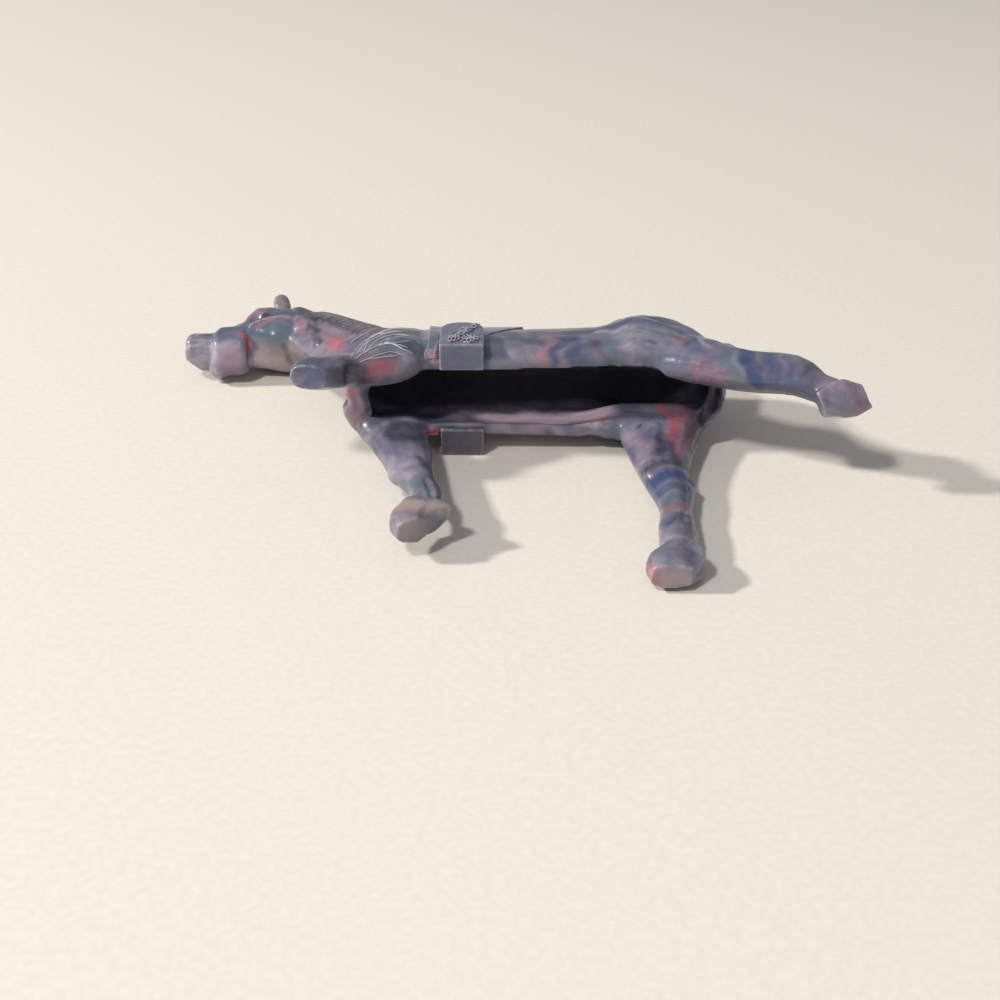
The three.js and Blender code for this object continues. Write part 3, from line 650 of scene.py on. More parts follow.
# The melt is slate, with streaks of these pigments where they flowed together in the mould. Each streak
# has its pigment, its width, its greatest share and a line along the skin
PIGMENTS = {
    "pale": linear(152, 147, 160),
    "rose": linear(214, 188, 202),
    "sand": linear(150, 134, 126),
    "teal": linear(80, 95, 106),
    "blue": linear(50, 64, 98),
    "mauve": linear(134, 102, 115),
    "plum": linear(46, 42, 54),
    "coral": linear(184, 84, 92),
}
STREAKS = (
    ("pale", 4.5, 0.7, (-63, 28.7, -3.9), (-60, 28.3, -4.5)),
    ("pale", 3.0, 0.6, (-65, 31, -3.5), (-65, 29, -4.5)),
    ("mauve", 3.2, 0.5, (-57.6, 27.6, -6.4), (-56.6, 28.0, -4.4)),
    ("coral", 1.5, 0.75, (-55.1, 30.6, -1.6), (-54.7, 29.6, -3.0)),
    ("teal", 4.0, 0.8, (-51, 31.8, -1.0), (-47.5, 31.2, -1.4)),
    # The next five streaks, on the jaw, give it its greyish brown and are also painted light: they lighten
    # its shaded underside as if light bounced up from the table
    ("sand", 3.8, 0.7, (-50.5, 27.4, -4.0), (-46.5, 26.8, -5.0)),
    ("rose", 1.8, 0.4, (-52, 27.4, -5.0), (-48, 26.4, -7.0)),
    ("pale", 3.8, 0.9, (-52, 29.6, -7.4), (-47.8, 30.6, -8.8)),
    ("rose", 3.6, 0.35, (-52, 29.6, -7.4), (-47.8, 30.6, -8.8)),
    ("sand", 3.8, 0.4, (-52, 29.6, -7.4), (-47.8, 30.6, -8.8)),
    ("sand", 2.6, 0.5, (-48.9, 46.6, -0.2), (-48.4, 43, -0.5)),
    ("mauve", 2.4, 0.4, (-48.9, 46.6, -0.2), (-48.4, 43, -0.5)),
    ("rose", 3.2, 0.4, (-58.6, 27.8, -3.4), (-56, 27.7, -4.6)),
    ("mauve", 1.6, 0.8, (-53.7, 34.3, -1), (-52.1, 35.7, -0.5), (-49.6, 35.6, -0.1), (-47.3, 36.5, -0.1)),
    ("mauve", 1.6, 0.8, (-47.3, 36.5, -0.1), (-45.4, 35.2, -0.4), (-43.3, 28.9, 0.4)),
    ("mauve", 1.8, 0.6, (-54.9, 38.6, -1.1), (-52.7, 40.3, 0.1)),
    ("plum", 1.6, 0.9, (-45.4, 41.5, -0.9), (-42.1, 31.5, 1.0), (-39.9, 20.4, 1.3)),
    ("plum", 0.8, 0.6, (-48, 30.1, -3.1), (-46.2, 30.3, -7.3)),
    ("coral", 2.4, 0.6, (-36.9, 18.5, 2.6), (-35.4, 15.6, 3.1)),
    ("mauve", 2.0, 0.6, (-38, 14, 2), (-36, 13, 3)),
    ("mauve", 4.5, 0.45, (-38, 27, 2.2), (-31, 18, 4.4)),
    ("teal", 5.0, 0.95, (-24.5, 7.5, 8.3), (-21.5, 3.5, 8.8)),
    ("plum", 2.0, 0.5, (-22.5, 1.5, 8.9), (-20.6, -0.5, 8.4)),
    ("coral", 2.6, 0.5, (-27.6, -4.9, 7.2), (-25.0, -4.4, 8.2)),
    ("plum", 3.4, 0.9, (-29.7, -6.5, 6.9), (-30.9, -6.7, 7.9), (-32.4, -8.2, 8.3)),
    ("blue", 3.4, 0.4, (-23.5, 3.5, 9), (-20.8, 2, 8.4)),
    ("blue", 4.0, 0.5, (-36.8, -10.5, 7.9), (-35, -9.5, 8.5)),
    ("mauve", 2.6, 0.9, (-32.2, 0, 2.5), (-32.6, 0, -1), (-31.2, 0, -4)),
    ("rose", 1.1, 0.7, (-31.0, 0, 1.0), (-31.0, 0, -2.5)),
    ("coral", 1.2, 0.25, (-32.2, 0, 1), (-32.4, 0, -1.5)),
    ("mauve", 1.5, 1.0, (-17.8, 0, 6.4), (-17.5, 2.5, 8.6), (-17.2, 4.5, 9)),
    ("rose", 0.8, 0.7, (-18.2, 0, 6.4), (-18.0, 2.5, 8.6)),
    ("mauve", 1.6, 0.6, (1.6, 5.0, 8.6), (0.6, 2.1, 7.8), (0.4, 0, 5.8)),
    ("coral", 0.9, 0.3, (1.6, 3.8, 8.3), (0.6, 1.4, 7.2)),
    ("blue", 1.8, 0.85, (1.8, 0, 6.4), (2.5, 2, 7.9), (4.1, 4.7, 8.2), (6.2, 6.2, 8.3)),
    ("blue", 2.0, 0.65, (5.3, 0, 6.2), (6.1, 0.9, 7.8), (5.6, 4.1, 8.3)),
    ("teal", 1.8, 0.6, (8.4, 0, 6.4), (8.8, 2, 8.0), (7.4, 4, 8.4)),
    ("plum", 1.3, 0.35, (3.4, 6, 8.2), (7.7, 5.9, 8.4), (10, 2.2, 8.3), (11, 0, 6.5)),
    ("teal", 1.8, 0.9, (12.1, 0, 6.5), (12.5, 0.9, 8.3), (11.1, 3.4, 8.7)),
    ("mauve", 1.1, 0.4, (9.6, 0.2, 7.4), (9.9, 2.6, 8.4)),
    ("pale", 5.0, 0.5, (15.5, 5, 10), (21, 3.4, 10)),
    ("pale", 1.4, 0.8, (9.9, 8.4, 8.3), (12.1, 8.2, 8.9), (14.1, 7.8, 9.7)),
    ("blue", 3.2, 0.72,
     (11.6, 10.6, 8.6), (14.5, 10.4, 9.5), (18, 9.8, 10), (21.6, 8.6, 9.7), (24, 6.8, 9.2)),
    ("plum", 0.9, 0.5, (17, 6.3, 10.1), (19.5, 5.5, 10), (22.3, 4.2, 9.5), (24.6, 0.8, 9.5)),
    ("plum", 1.3, 0.6, (21.2, 9.0, 9.6), (24.0, 7.1, 9.1), (25.2, 4.6, 9.3)),
    # This pale streak at the root of the tail is a painted highlight, and the far side gets a weaker
    # mirrored copy of it
    ("pale", 0.9, 0.9, (25.8, 6.5, 8.6), (26.7, 2.2, 9.5), (28.1, -0.4, 9.7)),
    ("mauve", 1.5, 0.7, (22.3, 3.2, 9.9), (23.6, 1.6, 9.6)),
    ("plum", 0.8, 0.6, (17, 1.8, 10), (19.5, 1.5, 10.2)),
    ("teal", 3.5, 0.8, (12, 16.4, 7.0), (21, 14.2, 8.6)),
    ("plum", 0.8, 0.7, (10, 17.6, 5.6), (18, 15.4, 8.2), (26, 9.5, 8.8)),
    ("blue", 1.3, 0.4, (25.2, 1.2, 9), (26.5, -1.2, 8.6)),
    ("coral", 2.6, 0.12, (24.5, -6.2, 6.2), (27.4, -6.4, 7.0)),
    ("mauve", 3.2, 0.35, (26.0, -4.5, 7.6), (28.2, -6.6, 7.2)),
    ("teal", 2.4, 0.7, (30.2, -2, 9.2), (31.2, -8, 7.2)),
    ("pale", 0.8, 0.5, (31.6, -3, 9.2), (32.4, -8, 7.2)),
    ("blue", 2.2, 1.0, (33.6, -1.5, 9.2), (33.8, -6, 8.8), (34.6, -11, 6.6)),
    ("blue", 2.6, 0.75, (37.2, -2.5, 9), (37.6, -7, 8.6), (38.2, -12, 6.4)),
    ("blue", 1.8, 0.6, (40.2, -4, 8.8), (40.8, -12, 6.4)),
    ("plum", 0.8, 0.5, (35.0, -4, 9.2), (36.0, -11, 6.6)),
    ("plum", 2.0, 0.35, (42.4, -5, 8.6), (43.6, -12.5, 6.4)),
    ("mauve", 3.0, 0.6, (46.8, -9.4, 8.6), (49.6, -12.4, 8.0)),
    ("mauve", 3.0, 0.5, (50.6, -13.4, 6.0), (51.6, -15.2, 4.4)),
    # The rose streak along the inner right wall is partly the wall's own pink and partly painted light,
    # lightening a strip the lamps leave dim
    ("rose", 4.2, 1.0, (-8, 4, -6.2), (11, 4, -6.2)),
    ("pale", 1.6, 0.4, (-9, -0.3, -7), (11, -0.3, -7)),
    ("coral", 1.0, 0.6, (7.2, 0.8, -5.4), (11.4, 0.8, -4.8)),
    ("coral", 1.5, 0.65, (20.8, 5.8, -4.1), (23.2, -0.9, -3.8), (21.6, -5.6, -4.0)),
    ("coral", 1.3, 0.3, (21.6, -5.6, -4.0), (22.8, -12.6, -4.4)),
    ("coral", 0.9, 0.35, (26.4, 5.6, -4.1), (23.6, -2.0, -3.8)),
    ("mauve", 3.0, 0.8, (24.2, 5, -4.1), (24.4, -10, -4)),
    # This plum streak right of the zigzag is painted shade on the rear of the buttock
    ("plum", 2.2, 0.5, (26.4, 3, -4.2), (26.2, -3, -4.2), (25.4, -8, -4.6)),
    ("pale", 2.0, 0.3, (14.6, -4.6, -4.2), (16.6, -12, -4.1)),
    ("mauve", 3.0, 0.5, (15.5, -6, -4.2), (17.5, -10, -4.1)),
    ("plum", 0.6, 0.8, (14.8, -3.9, -4.2), (18, -2.6, -4.0), (21.2, -1.4, -3.8)),
    ("blue", 1.8, 0.6, (18.2, -6.4, -4.1), (19.2, -12.4, -4.4)),
    ("plum", 1.2, 0.5, (19.2, -8.4, -4.1), (20.0, -13.6, -4.4)),
    ("plum", 2.6, 0.35, (22.6, -36, -5), (21.6, -39, -5)),
    ("plum", 1.5, 0.7, (15, -15.6, -6), (19, -15.6, -4.8), (24.6, -14.8, -6)),
    ("blue", 2.6, 0.95, (14.6, -19.2, -7), (19, -19, -4.8), (25.4, -18.2, -7)),
    ("blue", 2.0, 0.75, (15.6, -22.4, -7), (19, -22.4, -5), (24.8, -21.8, -7)),
    ("teal", 2.0, 0.9, (16.4, -25.2, -7), (19.6, -25, -5), (24.4, -24.8, -7)),
    ("sand", 2.6, 0.5, (18, -28.6, -5.3), (23, -28.0, -5.3)),
    ("mauve", 2.4, 0.65, (18, -28.6, -5.3), (23, -28.0, -5.3)),
    ("plum", 2.6, 0.2, (18, -28.6, -5.3), (23, -28.0, -5.3)),
    ("plum", 1.2, 0.6, (19.2, -33.0, -5.2), (20.8, -31.2, -5.0), (23, -31.4, -5.2)),
    ("sand", 2.6, 0.6, (16.6, -45.4, -7.6), (19.6, -45.4, -7.8)),
    ("rose", 2.6, 0.3, (17.2, -45.4, -7.6), (19.6, -45.4, -7.8)),
    ("coral", 2.2, 0.45, (15.0, -45.4, -6.6), (15.2, -45.4, -9)),
    ("plum", 3.6, 0.35, (-28.4, 1.6, -3.6), (-25.6, -3.8, -3.5)),
    ("coral", 0.6, 0.5, (-22.4, -1.4, -3.6), (-20.8, -4.4, -3.6)),
    ("blue", 2.0, 0.35, (-24.4, -11, -3.2), (-22.4, -17, -3.2)),
    ("plum", 1.5, 0.6, (-20.4, -16.4, -3), (-18.6, -18.6, -3.3)),
    ("teal", 2.4, 0.7, (-20, -24, -3), (-18, -29.6, -3.1)),
    ("pale", 1.6, 1.0, (-17.6, -28.2, -2.4), (-16.6, -30.4, -2.6)),
    ("sand", 3.2, 0.9, (-21.4, -33.0, -3.0), (-16.8, -32.0, -3.0)),
    ("sand", 3.4, 0.55, (-20.6, -36, -5.2), (-17.4, -36.8, -5.2)),
    ("rose", 2.0, 0.5, (-21.0, -32.6, -2.9), (-17.4, -31.8, -2.9)),
    ("coral", 1.3, 0.9, (-19.2, 0.2, -6.6), (-17.6, -0.6, -7.2)),
    # This plum streak on the rear lip of the rim is painted shade
    ("plum", 3.2, 0.45, (29, -0.4, -6.5), (32, -0.4, -3.5), (32.8, -0.4, 0)),
)

# The far side of the trunk mirrors the left one, a little weaker
FAR_STRENGTH = 0.8
FLANK = 4
TRUNK_END = 29
FAR_STREAKS = tuple(
    (pigment, width, most * FAR_STRENGTH, *((x, y, -z) for x, y, z in line))
    for pigment, width, most, *line in STREAKS
    if min(z for _, _, z in line) > FLANK and max(x for x, _, _ in line) < TRUNK_END)

# The streaks are bent onto the skin, and they waver when they are poured into a piece
STREAK_STEPS = 6
STREAK_EDGE = (0, 0.8)
WAVER = 0.4
WAVER_TURNS = (1.1, 0.8)
laid_streaks = [
    (pigment, width, most, skin.lay(line, steps=STREAK_STEPS))
    for pigment, width, most, *line in STREAKS + FAR_STREAKS]


def pour_streaks(piece):
    """Keeps the strength of each pigment at each point of a piece."""
    points = points_of(piece)
    turned = points[:, (1, 2, 0)] * WAVER_TURNS[0] + points[:, (2, 0, 1)] * WAVER_TURNS[1]
    points = points + WAVER * np.sin(turned)
    strengths = {pigment: np.zeros(len(points), np.float32) for pigment in PIGMENTS}
    for pigment, width, most, line in laid_streaks:
        low, high = line.min(0) - width, line.max(0) + width
        near = np.flatnonzero(np.all((points > low) & (points < high), axis=1))
        if len(near):
            share = most * ramp(1 - distance_to_line(points[near], line) / width, *STREAK_EDGE)
            strengths[pigment][near] = np.maximum(strengths[pigment][near], share)
    for pigment, strength in strengths.items():
        keep_value(piece, pigment, strength)


note_wear(horse)
pour_streaks(horse)


def part_off(piece, name, side):
    """One half of the horse, cut along the seam and closed there."""
    half = bpy.data.objects.new(name, piece.data.copy())
    scene.collection.objects.link(half)
    points = points_of(half)
    points[:, 2] -= seam_at(points[:, 0])
    move_points(half, points)
    in_edit_mode(half, lambda: bpy.ops.mesh.bisect(
        plane_co=on_horse(0, 0, side * PARTING_LINE), plane_no=(0, 0, side),
        use_fill=True, clear_inner=True, threshold=PARTING_SNAP))
    points = points_of(half)
    points[:, 2] += seam_at(points[:, 0])
    move_points(half, points)
    take_up(half)
    bpy.ops.object.shade_smooth_by_angle(angle=CRISP)
    return half


left_shell = part_off(horse, "left_shell", 1)
right_shell = part_off(horse, "right_shell", -1)
bpy.data.objects.remove(horse)


def new_group(name, inputs, outputs):
    """An empty node group with named sockets, and the sockets at its two ends."""
    group = bpy.data.node_groups.new(name, "ShaderNodeTree")
    for way, sockets in (("INPUT", inputs), ("OUTPUT", outputs)):
        for label, kind in sockets.items():
            group.interface.new_socket(label, in_out=way, socket_type=f"NodeSocket{kind}")
    return group, group.nodes.new("NodeGroupInput").outputs, group.nodes.new("NodeGroupOutput").inputs


def colour_ramp(tree, factor, stops):
    """Colours in order along a value from 0 to 1."""
    made = node(tree, "ShaderNodeValToRGB", {"Fac": factor})
    elements = made.color_ramp.elements
    elements.remove(elements[-1])
    for index, (position, colour) in enumerate(stops):
        element = elements.new(position) if index else elements[0]
        element.position = position
        element.color = colour
    return made.outputs["Color"]


def product(tree, first, second):
    """Two values multiplied; each may be an output or a fixed number."""
    return node(tree, "ShaderNodeMath", {0: first, 1: second}, operation="MULTIPLY").outputs[0]


def noise(tree, place, scale, detail):
    """A soft noise on a place given in millimetres."""
    return node(tree, "ShaderNodeTexNoise", {"Vector": place, "Scale": scale, "Detail": detail})


def stirred(tree, place, push, amount):
    """A place pushed aside by the colour of a noise."""
    made = node(
        tree, "ShaderNodeVectorMath",
        {0: push.outputs["Color"], 1: (amount, amount, amount), 2: place}, operation="MULTIPLY_ADD")
    return made.outputs[0]


SWIRL = 26
CURL = 5
FLOW_TURN = (0.3, 0.5, 0.4)
FLOW_STRETCH = (0.45, 1, 1)
SLATES = (
    (0.34, linear(64, 66, 84)),
    (0.46, linear(94, 93, 110)),
    (0.56, linear(110, 107, 121)),
    (0.68, linear(140, 134, 147)),
)
MID_NOISE = (0.3, 0.7)
STRAND_SHARE = 0.6
STRAND_TONES = (0.4, 0.6)
STREAK_RAGGED = (0.7, 1.15)

melt, given, result = new_group(
    "stirred_melt", {"Place": "Vector"}, {"Colour": "Color", "Ripple": "Float", "Streak": "Float"})
slow_push = noise(melt, given["Place"], scale=0.05, detail=1)
quick_push = noise(melt, given["Place"], scale=0.2, detail=1)
swirl = stirred(melt, stirred(melt, given["Place"], slow_push, SWIRL), quick_push, CURL)
flow = node(
    melt, "ShaderNodeMapping",
    {"Vector": swirl, "Rotation": FLOW_TURN, "Scale": FLOW_STRETCH}).outputs[0]
base = colour_ramp(melt, noise(melt, flow, scale=0.16, detail=2.5).outputs["Fac"], SLATES)

# Clouds of blue and of mauve drift in the slate. A row holds the push, how far it goes, the cloud's scale,
# where along its noise it starts and is full, its greatest share and its colour
CLOUDS = (
    (slow_push, 9, 0.12, (0.48, 0.66), 0.7, linear(74, 84, 110)),
    (quick_push, -14, 0.11, (0.52, 0.68), 0.6, linear(142, 116, 128)),
)
for push, amount, scale, spread, most, colour in CLOUDS:
    cloud = noise(melt, stirred(melt, flow, push, amount), scale, detail=2).outputs["Fac"]
    base = blend_colours(melt, scaled(melt, cloud, *spread, 0, most), base, colour)
strands = noise(melt, flow, scale=0.8, detail=3).outputs["Fac"]
strand_tone = scaled(melt, strands, *MID_NOISE, *STRAND_TONES)
melt.links.new(blend_colours(melt, STRAND_SHARE, base, strand_tone, "OVERLAY"), result["Colour"])
melt.links.new(strands, result["Ripple"])
melt.links.new(scaled(melt, strands, *MID_NOISE, *STREAK_RAGGED), result["Streak"])

PATCHES = (0.35, 0.65, 0.15, 1)
rub, given, result = new_group(
    "rubbed_edges", {"Place": "Vector", "Low": "Float", "High": "Float"}, {"Mask": "Float"})
stands_out = node(rub, "ShaderNodeAttribute", attribute_name="stands_out").outputs["Fac"]
sharp = scaled(rub, stands_out, given["Low"], given["High"], 0, 1)
patchy = scaled(rub, noise(rub, given["Place"], scale=0.9, detail=3).outputs["Fac"], *PATCHES)
rub.links.new(product(rub, sharp, patchy), result["Mask"])

RUBBED = linear(192, 186, 192)
# The dark colour painted as shade deep in the hollow
PAINTED_SHADE = linear(36, 36, 40)
COAT_WEIGHT = 0.28
COAT_ROUGHNESS = 0.1
DENTS = {"Strength": 0.35, "Distance": 0.8 * MM}
PORES = {"Strength": 0.12, "Distance": 0.1 * MM}


def marbled(name, tint, tint_share, wear, roughness, pigments=(), shade_share=0):
    """The marbled plastic of one piece, with its own tint, wear, gloss and streaks, and painted shade in
    its hollow.
    """
    worn_from, worn_full, worn_share = wear
    material, tree, shader = new_material(name)
    seen = node(tree, "ShaderNodeTexCoord").outputs["Object"]
    place = node(
        tree, "ShaderNodeMapping",
        {"Vector": seen, "Location": [-value / MM for value in rim], "Scale": [1 / MM] * 3}).outputs[0]
    stirred_melt = node(tree, "ShaderNodeGroup", {"Place": place}, node_tree=melt).outputs
    colour = blend_colours(tree, tint_share, stirred_melt["Colour"], tint)
    for pigment in pigments:
        strength = node(tree, "ShaderNodeAttribute", attribute_name=pigment).outputs["Fac"]
        share = scaled(tree, product(tree, strength, stirred_melt["Streak"]), 0, 1, 0, 1)
        colour = blend_colours(tree, share, colour, PIGMENTS[pigment])
    # Painted shade darkens the hollow as far as its kept inside value goes
    if shade_share:
        shade_mask = node(tree, "ShaderNodeAttribute", attribute_name="inside").outputs["Fac"]
        colour = blend_colours(tree, product(tree, shade_mask, shade_share), colour, PAINTED_SHADE)
    rubbed = node(
        tree, "ShaderNodeGroup", {"Place": place, "Low": worn_from, "High": worn_full}, node_tree=rub)
    worn = product(tree, rubbed.outputs["Mask"], worn_share)
    colour = blend_colours(tree, worn, colour, RUBBED)
    tree.links.new(colour, shader.inputs["Base Color"])
    gloss = scaled(tree, stirred_melt["Ripple"], *MID_NOISE, *roughness)
    tree.links.new(gloss, shader.inputs["Roughness"])
    shader.inputs["Coat Weight"].default_value = COAT_WEIGHT
    shader.inputs["Coat Roughness"].default_value = COAT_ROUGHNESS
    dents = noise(tree, place, scale=0.42, detail=2).outputs["Fac"]
    dented = node(tree, "ShaderNodeBump", {"Height": dents, **DENTS}).outputs["Normal"]
    pores = noise(tree, place, scale=2.2, detail=3).outputs["Fac"]
    porous = node(tree, "ShaderNodeBump", {"Height": pores, "Normal": dented, **PORES}).outputs["Normal"]
    tree.links.new(porous, shader.inputs["Normal"])
    return material


# The shells get painted shade in their hollow
shell_plastic = marbled(
    "shell_plastic", linear(106, 103, 117), tint_share=0.15, wear=(0.02, 0.07, 0.5),
    roughness=(0.28, 0.44), pigments=PIGMENTS, shade_share=0.85)
for shell, cad in ((left_shell, "left_half_shell"), (right_shell, "right_half_shell")):
    shell.data.materials.append(shell_plastic)
    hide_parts(cad)
    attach(shell, "root")

# Mane.
# Short locks of hair stand along the crest of the neck and lie down on both sides of it, in relief on
# the half shells.
NECK_LINE = (
    (-46.6, 41.86, -5.1), (-43.65, 37.88, -4.16), (-40.14, 32.93, -3.08), (-36.66, 26.95, -2.08),
    (-33.16, 21.22, -1.25), (-28.04, 15.15, -0.52),
)
CREST_WAY = (0.8, 0.6, 0)
CREST_OFF = 7.5
LOCKS = 260
LOCK_FALL = 6.5
LOCK_UNEVEN = 0.35
LOCK_SWAY = 0.9
LOCK_BACK = 1.2
LOCK_DOWN = 1.6
LOCK_ASIDE = 5
LOCK_BEND = 2.4
LOCK_PROUD = 0.05
LOCK_STEPS = 3
LOCK_RADIUS = 0.16
LOCK_TIP = 0.45
FALL_WAVE = 1.7
SWAY_WAVE = 2.4


def cords(name, lines, radius, tip):
    """Round cords that follow the given lines, as one mesh; a tip has that share of the radius."""
    curve = bpy.data.curves.new(name, "CURVE")
    curve.dimensions = "3D"
    curve.bevel_depth = radius * MM
    curve.bevel_resolution = 1
    curve.resolution_u = 2
    curve.use_fill_caps = True
    for line in lines:
        spline = curve.splines.new("NURBS")
        spline.points.add(len(line) - 1)
        for point, spot in zip(spline.points, line):
            point.co = (*on_horse(*spot), 1)
        spline.order_u = 4
        spline.use_endpoint_u = True
        spline.points[0].radius = spline.points[-1].radius = tip
    piece = bpy.data.objects.new(name, curve)
    scene.collection.objects.link(piece)
    take_up(piece)
    bpy.ops.object.convert(target="MESH")
    bpy.ops.object.shade_smooth()
    return piece


neck_line = np.array(NECK_LINE)
crest_way = np.array(CREST_WAY)
crest = neck_line + crest_way * CREST_OFF
locks = []
for index in range(LOCKS):
    spot = (index + 0.5) / LOCKS * (len(crest) - 1)
    start = along_line(crest, spot)
    middle = along_line(neck_line, spot)
    sway = LOCK_SWAY * math.sin(index * SWAY_WAVE)
    fall = LOCK_FALL * (1 + LOCK_UNEVEN * math.sin(index * FALL_WAVE))
    for side in (1, -1):
        thrown = np.array((sway + LOCK_BACK, -LOCK_DOWN, side * LOCK_ASIDE))
        end = middle + crest_way * (CREST_OFF - fall) + thrown
        bend = (start + end) / 2 + np.array((0, 0, side * LOCK_BEND))
        locks.append(skin.lay((start, bend, end), steps=LOCK_STEPS, proud=LOCK_PROUD))
mane = cords("mane_locks", locks, LOCK_RADIUS, LOCK_TIP)
note_wear(mane)
mane_plastic = marbled(
    "mane_plastic", linear(112, 104, 109), tint_share=0.7, wear=(0, 0.05, 0.15), roughness=(0.38, 0.55))
mane.data.materials.append(mane_plastic)
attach(mane, "root")

# Lacing.
# Thin raised laces of the breast collar cross the left shoulder, moulded in relief and rubbed pale.
LACE_RADIUS = 0.09
LACE_TIP = 0.6
LACE_PROUD = 0.08
LACE_STEPS = 6
LACES = (
    ((-30.4, 6.6, 6.4), (-27.8, 8.1, 7.3), (-24, 9.3, 7.7), (-20.7, 11.5, 7.4)),
    ((-32.3, 10.9, 3.7), (-30.3, 13.4, 4.7), (-26.8, 9.2, 7.4), (-24.4, 9.5, 7.7)),
    ((-30.4, -4.8, 9.1), (-28.3, -1.8, 9.5), (-26.1, 2.2, 8.9), (-23.1, -0.3, 9), (-21.4, -0.5, 8.2)),
    ((-29.7, -5.3, 8.8), (-27.2, -3.4, 9.1), (-25, -1.8, 9.1), (-22.5, -1.6, 8.3)),
    ((-33.3, 14, 3.7), (-31.7, 16.2, 4.3), (-29.6, 17.6, 4.5)),
    ((-28, -1.4, 9.5), (-26.5, 5.4, 7.7), (-25.1, 5.2, 8.2)),
    ((-31.1, -4.4, 9.3), (-30.6, 2.0, 8.0), (-29.2, 9.0, 6.7), (-26.2, 10.6, 7.2), (-21.6, 12.0, 7.3)),
    ((-30.6, 1.6, 8.0), (-28.2, 3.0, 8.4), (-25.4, 1.2, 9.0), (-22.2, 0.6, 8.8)),
    ((-29.0, -3.2, 9.2), (-27.4, 0.4, 9.3), (-24.2, 1.6, 9.0), (-21.8, 3.4, 8.8)),
    ((-29.6, 3.6, 7.8), (-27.6, 6.6, 7.6), (-24.8, 7.4, 8.0), (-22.4, 6.6, 8.4)),
    ((-28.6, -4.6, 9.0), (-26.0, -3.4, 9.0), (-23.8, -2.4, 8.8)),
)
laid_laces = [skin.lay(lace, steps=LACE_STEPS, proud=LACE_PROUD) for lace in LACES]
lacing = cords("lacing", laid_laces, LACE_RADIUS, LACE_TIP)
note_wear(lacing)
lacing_plastic = marbled(
    "lacing_plastic", linear(186, 180, 178), tint_share=0.85, wear=(0, 0.04, 0.5), roughness=(0.35, 0.5))
lacing.data.materials.append(lacing_plastic)
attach(lacing, "root")

# Saddle.
# A pad with skirts and cinch straps, a horn in front and a cantle behind, moulded in the same plastic. It
# follows the back of the horse and is fixed to it all over.
SADDLE_GRAIN = 0.22
SADDLE_PASSES = 4
PAD_INNER = 0.3
PAD_OUTER = 1.0
PAD_SUNK = 0.15
PAD_PROUD_SIDE = 0.22
PAD_PROUD_TOP = 0.7
PAD_TOP = (13, 19)


def moulded(node_name, name, grain, passes):
    """A piece skinned afresh from a solid and rubbed smooth all over."""
    piece = start_from(node_name, name)
    remesh(piece, grain)
    relax(piece, passes, np.ones(len(piece.data.vertices)))
    return piece


saddle = moulded("saddle", "saddle_moulding", SADDLE_GRAIN, SADDLE_PASSES)
points = points_of(saddle)
hits = [skin.tree.find_nearest(p)[:2] for p in points]
spots = np.array([spot for spot, _ in hits])
facings = np.array([facing for _, facing in hits])
gap = np.sum((points - spots) * facings, 1)
proud = PAD_PROUD_SIDE + (PAD_PROUD_TOP - PAD_PROUD_SIDE) * ramp(points[:, 1], *PAD_TOP)
layer = np.clip((gap - PAD_INNER) / (PAD_OUTER - PAD_INNER), 0, 1)
drawn_in = layer * (proud + PAD_SUNK) - PAD_SUNK + np.maximum(gap - PAD_OUTER, 0) - gap
move_points(saddle, points + facings * drawn_in[:, None])
note_wear(saddle)
pour_streaks(saddle)
saddle_plastic = marbled(
    "saddle_plastic", linear(98, 98, 117), tint_share=0.4, wear=(0.015, 0.05, 0.35),
    roughness=(0.24, 0.4), pigments=PIGMENTS)
saddle.data.materials.append(saddle_plastic)
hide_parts("saddle")
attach(saddle, "root")

# Stirrups.
# Each is a plain block with softened edges that laps under the rim, moulded in the same plastic.
STIRRUP_GRAIN = 0.16
STIRRUP_PASSES = 4
STIRRUPS = (
    ("left", linear(104, 106, 128), 0.8),
    # The right stirrup's dark tint is painted shade: it lies low under the belly, out of the light
    ("right", linear(60, 58, 65), 0.45),
)
for side, tint, worn_share in STIRRUPS:
    stirrup = moulded(f"{side}_stirrup", f"{side}_stirrup_block", STIRRUP_GRAIN, STIRRUP_PASSES)
    note_wear(stirrup)
    pour_streaks(stirrup)
    stirrup_plastic = marbled(
        f"{side}_stirrup_plastic", tint, tint_share=0.7, wear=(0.01, 0.04, worn_share),
        roughness=(0.3, 0.42), pigments=("mauve", "coral"))
    stirrup.data.materials.append(stirrup_plastic)
    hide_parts(f"{side}_stirrup")
    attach(stirrup, "root")

# Rope.
# A coil of rope in relief lies on the left stirrup, with a single cord that runs up to it from the
# cinch. It is part of the moulding, so it doesn't hang.
ROPE_RADIUS = 0.13
ROPE_TIP = 0.7
ROPE_TOP = 10.35
LOOP_POINTS = 9
LOOP_UNEVEN = 0.45
LOOP_LEAN = 0.1
LOOP_RISE = 0.18
ROW_DRIFT = 0.35
ROW_RISE = 0.12
UNEVEN_WAVE = 11
DRIFT_WAVE = 7
RISE_WAVE = 9
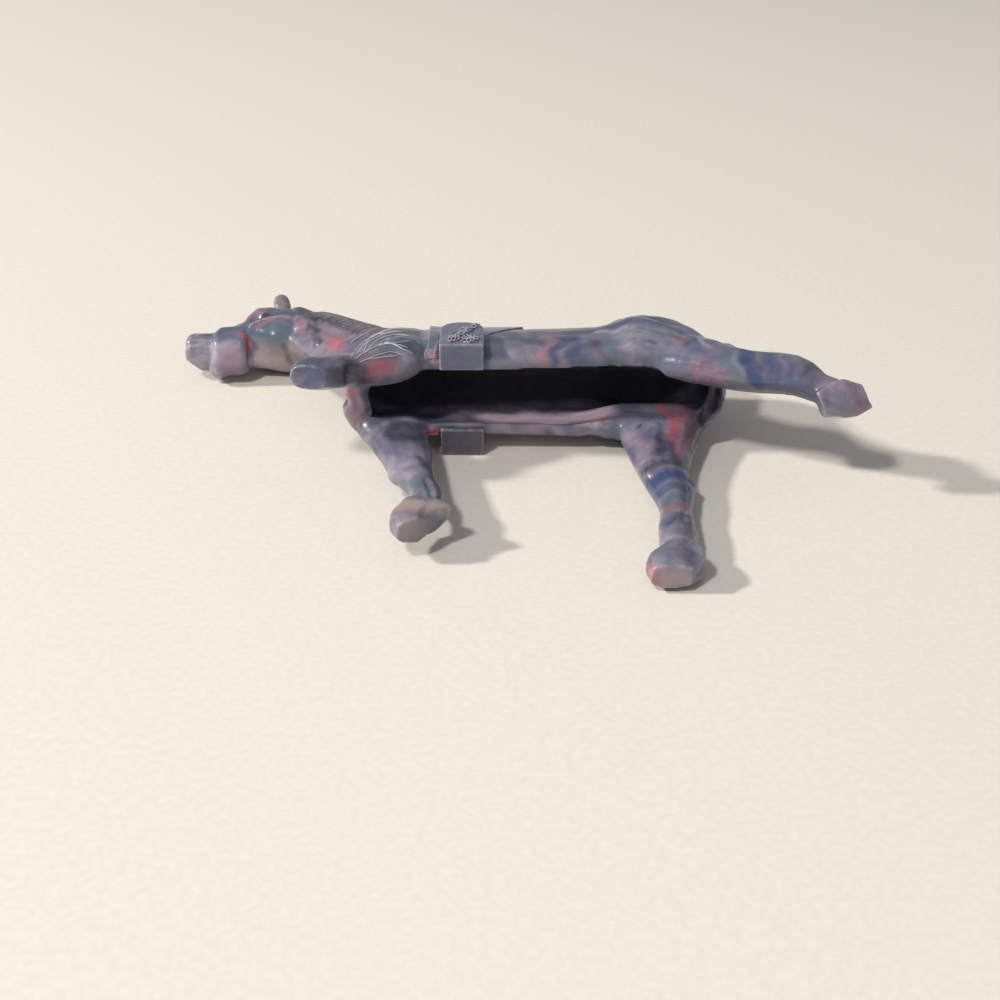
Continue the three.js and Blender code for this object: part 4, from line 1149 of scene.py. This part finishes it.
# Each row of loops has its start, its end, its number of loops, their half width and where they begin
COILS = (
    ((-15.4, 0.6), (-10.4, 0.9), 8, 0.8, 0.0),
    ((-10.6, 1.9), (-15.0, 2.2), 7, 0.9, 1.0),
    ((-13.8, 3.0), (-11.0, 6.8), 6, 0.8, 2.0),
    ((-12.0, 5.8), (-13.4, 2.4), 5, 0.6, 3.0),
)
CORD_TIP = 0.8
CORD = ((-18, 0, 6.4), (-17.8, 0.5, 8.1), (-17.4, 3.4, 8.9), (-15.9, 2.9, 10.3), (-14.2, 4.2, 10.4))

coils = []
for start, end, turns, width, phase in COILS:
    along = np.array(end) - np.array(start)
    across = np.array((-along[1], along[0])) / np.linalg.norm(along)
    coil = []
    for share in np.linspace(0, 1, turns * LOOP_POINTS + 1):
        turn = 2 * math.pi * turns * share + phase
        loose = width * (1 + LOOP_UNEVEN * math.sin(UNEVEN_WAVE * share + phase))
        drift = ROW_DRIFT * math.sin(DRIFT_WAVE * share + 2 * phase)
        ahead = along * (share + LOOP_LEAN * math.sin(turn))
        spot = start + ahead + across * (loose * math.cos(turn) + drift)
        rise = ROPE_TOP + LOOP_RISE * math.sin(turn) + ROW_RISE * math.sin(RISE_WAVE * share)
        coil.append((*spot, rise))
    coils.append(coil)
rope = cords("rope_coil", coils, ROPE_RADIUS, ROPE_TIP)
cord = cords("rope_end", [CORD], LACE_RADIUS, CORD_TIP)
rope_plastic = marbled(
    "rope_plastic", linear(126, 124, 136), tint_share=0.75, wear=(0, 0.04, 0.45), roughness=(0.35, 0.5))
for piece in (rope, cord):
    note_wear(piece)
    piece.data.materials.append(rope_plastic)
    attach(piece, "root")

# Tail.
# A few locks of hair, moulded in the same plastic with grooves between the strands. They lie close
# against the buttocks and are fixed there.
TAIL_GRAIN = 0.22
TAIL_PASSES = 12

tail = moulded("tail", "tail_locks", TAIL_GRAIN, TAIL_PASSES)
note_wear(tail)
tail_plastic = marbled(
    "tail_plastic", linear(96, 93, 108), tint_share=0.4, wear=(0.02, 0.06, 0.5), roughness=(0.26, 0.42))
tail.data.materials.append(tail_plastic)
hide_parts("tail")
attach(tail, "root")
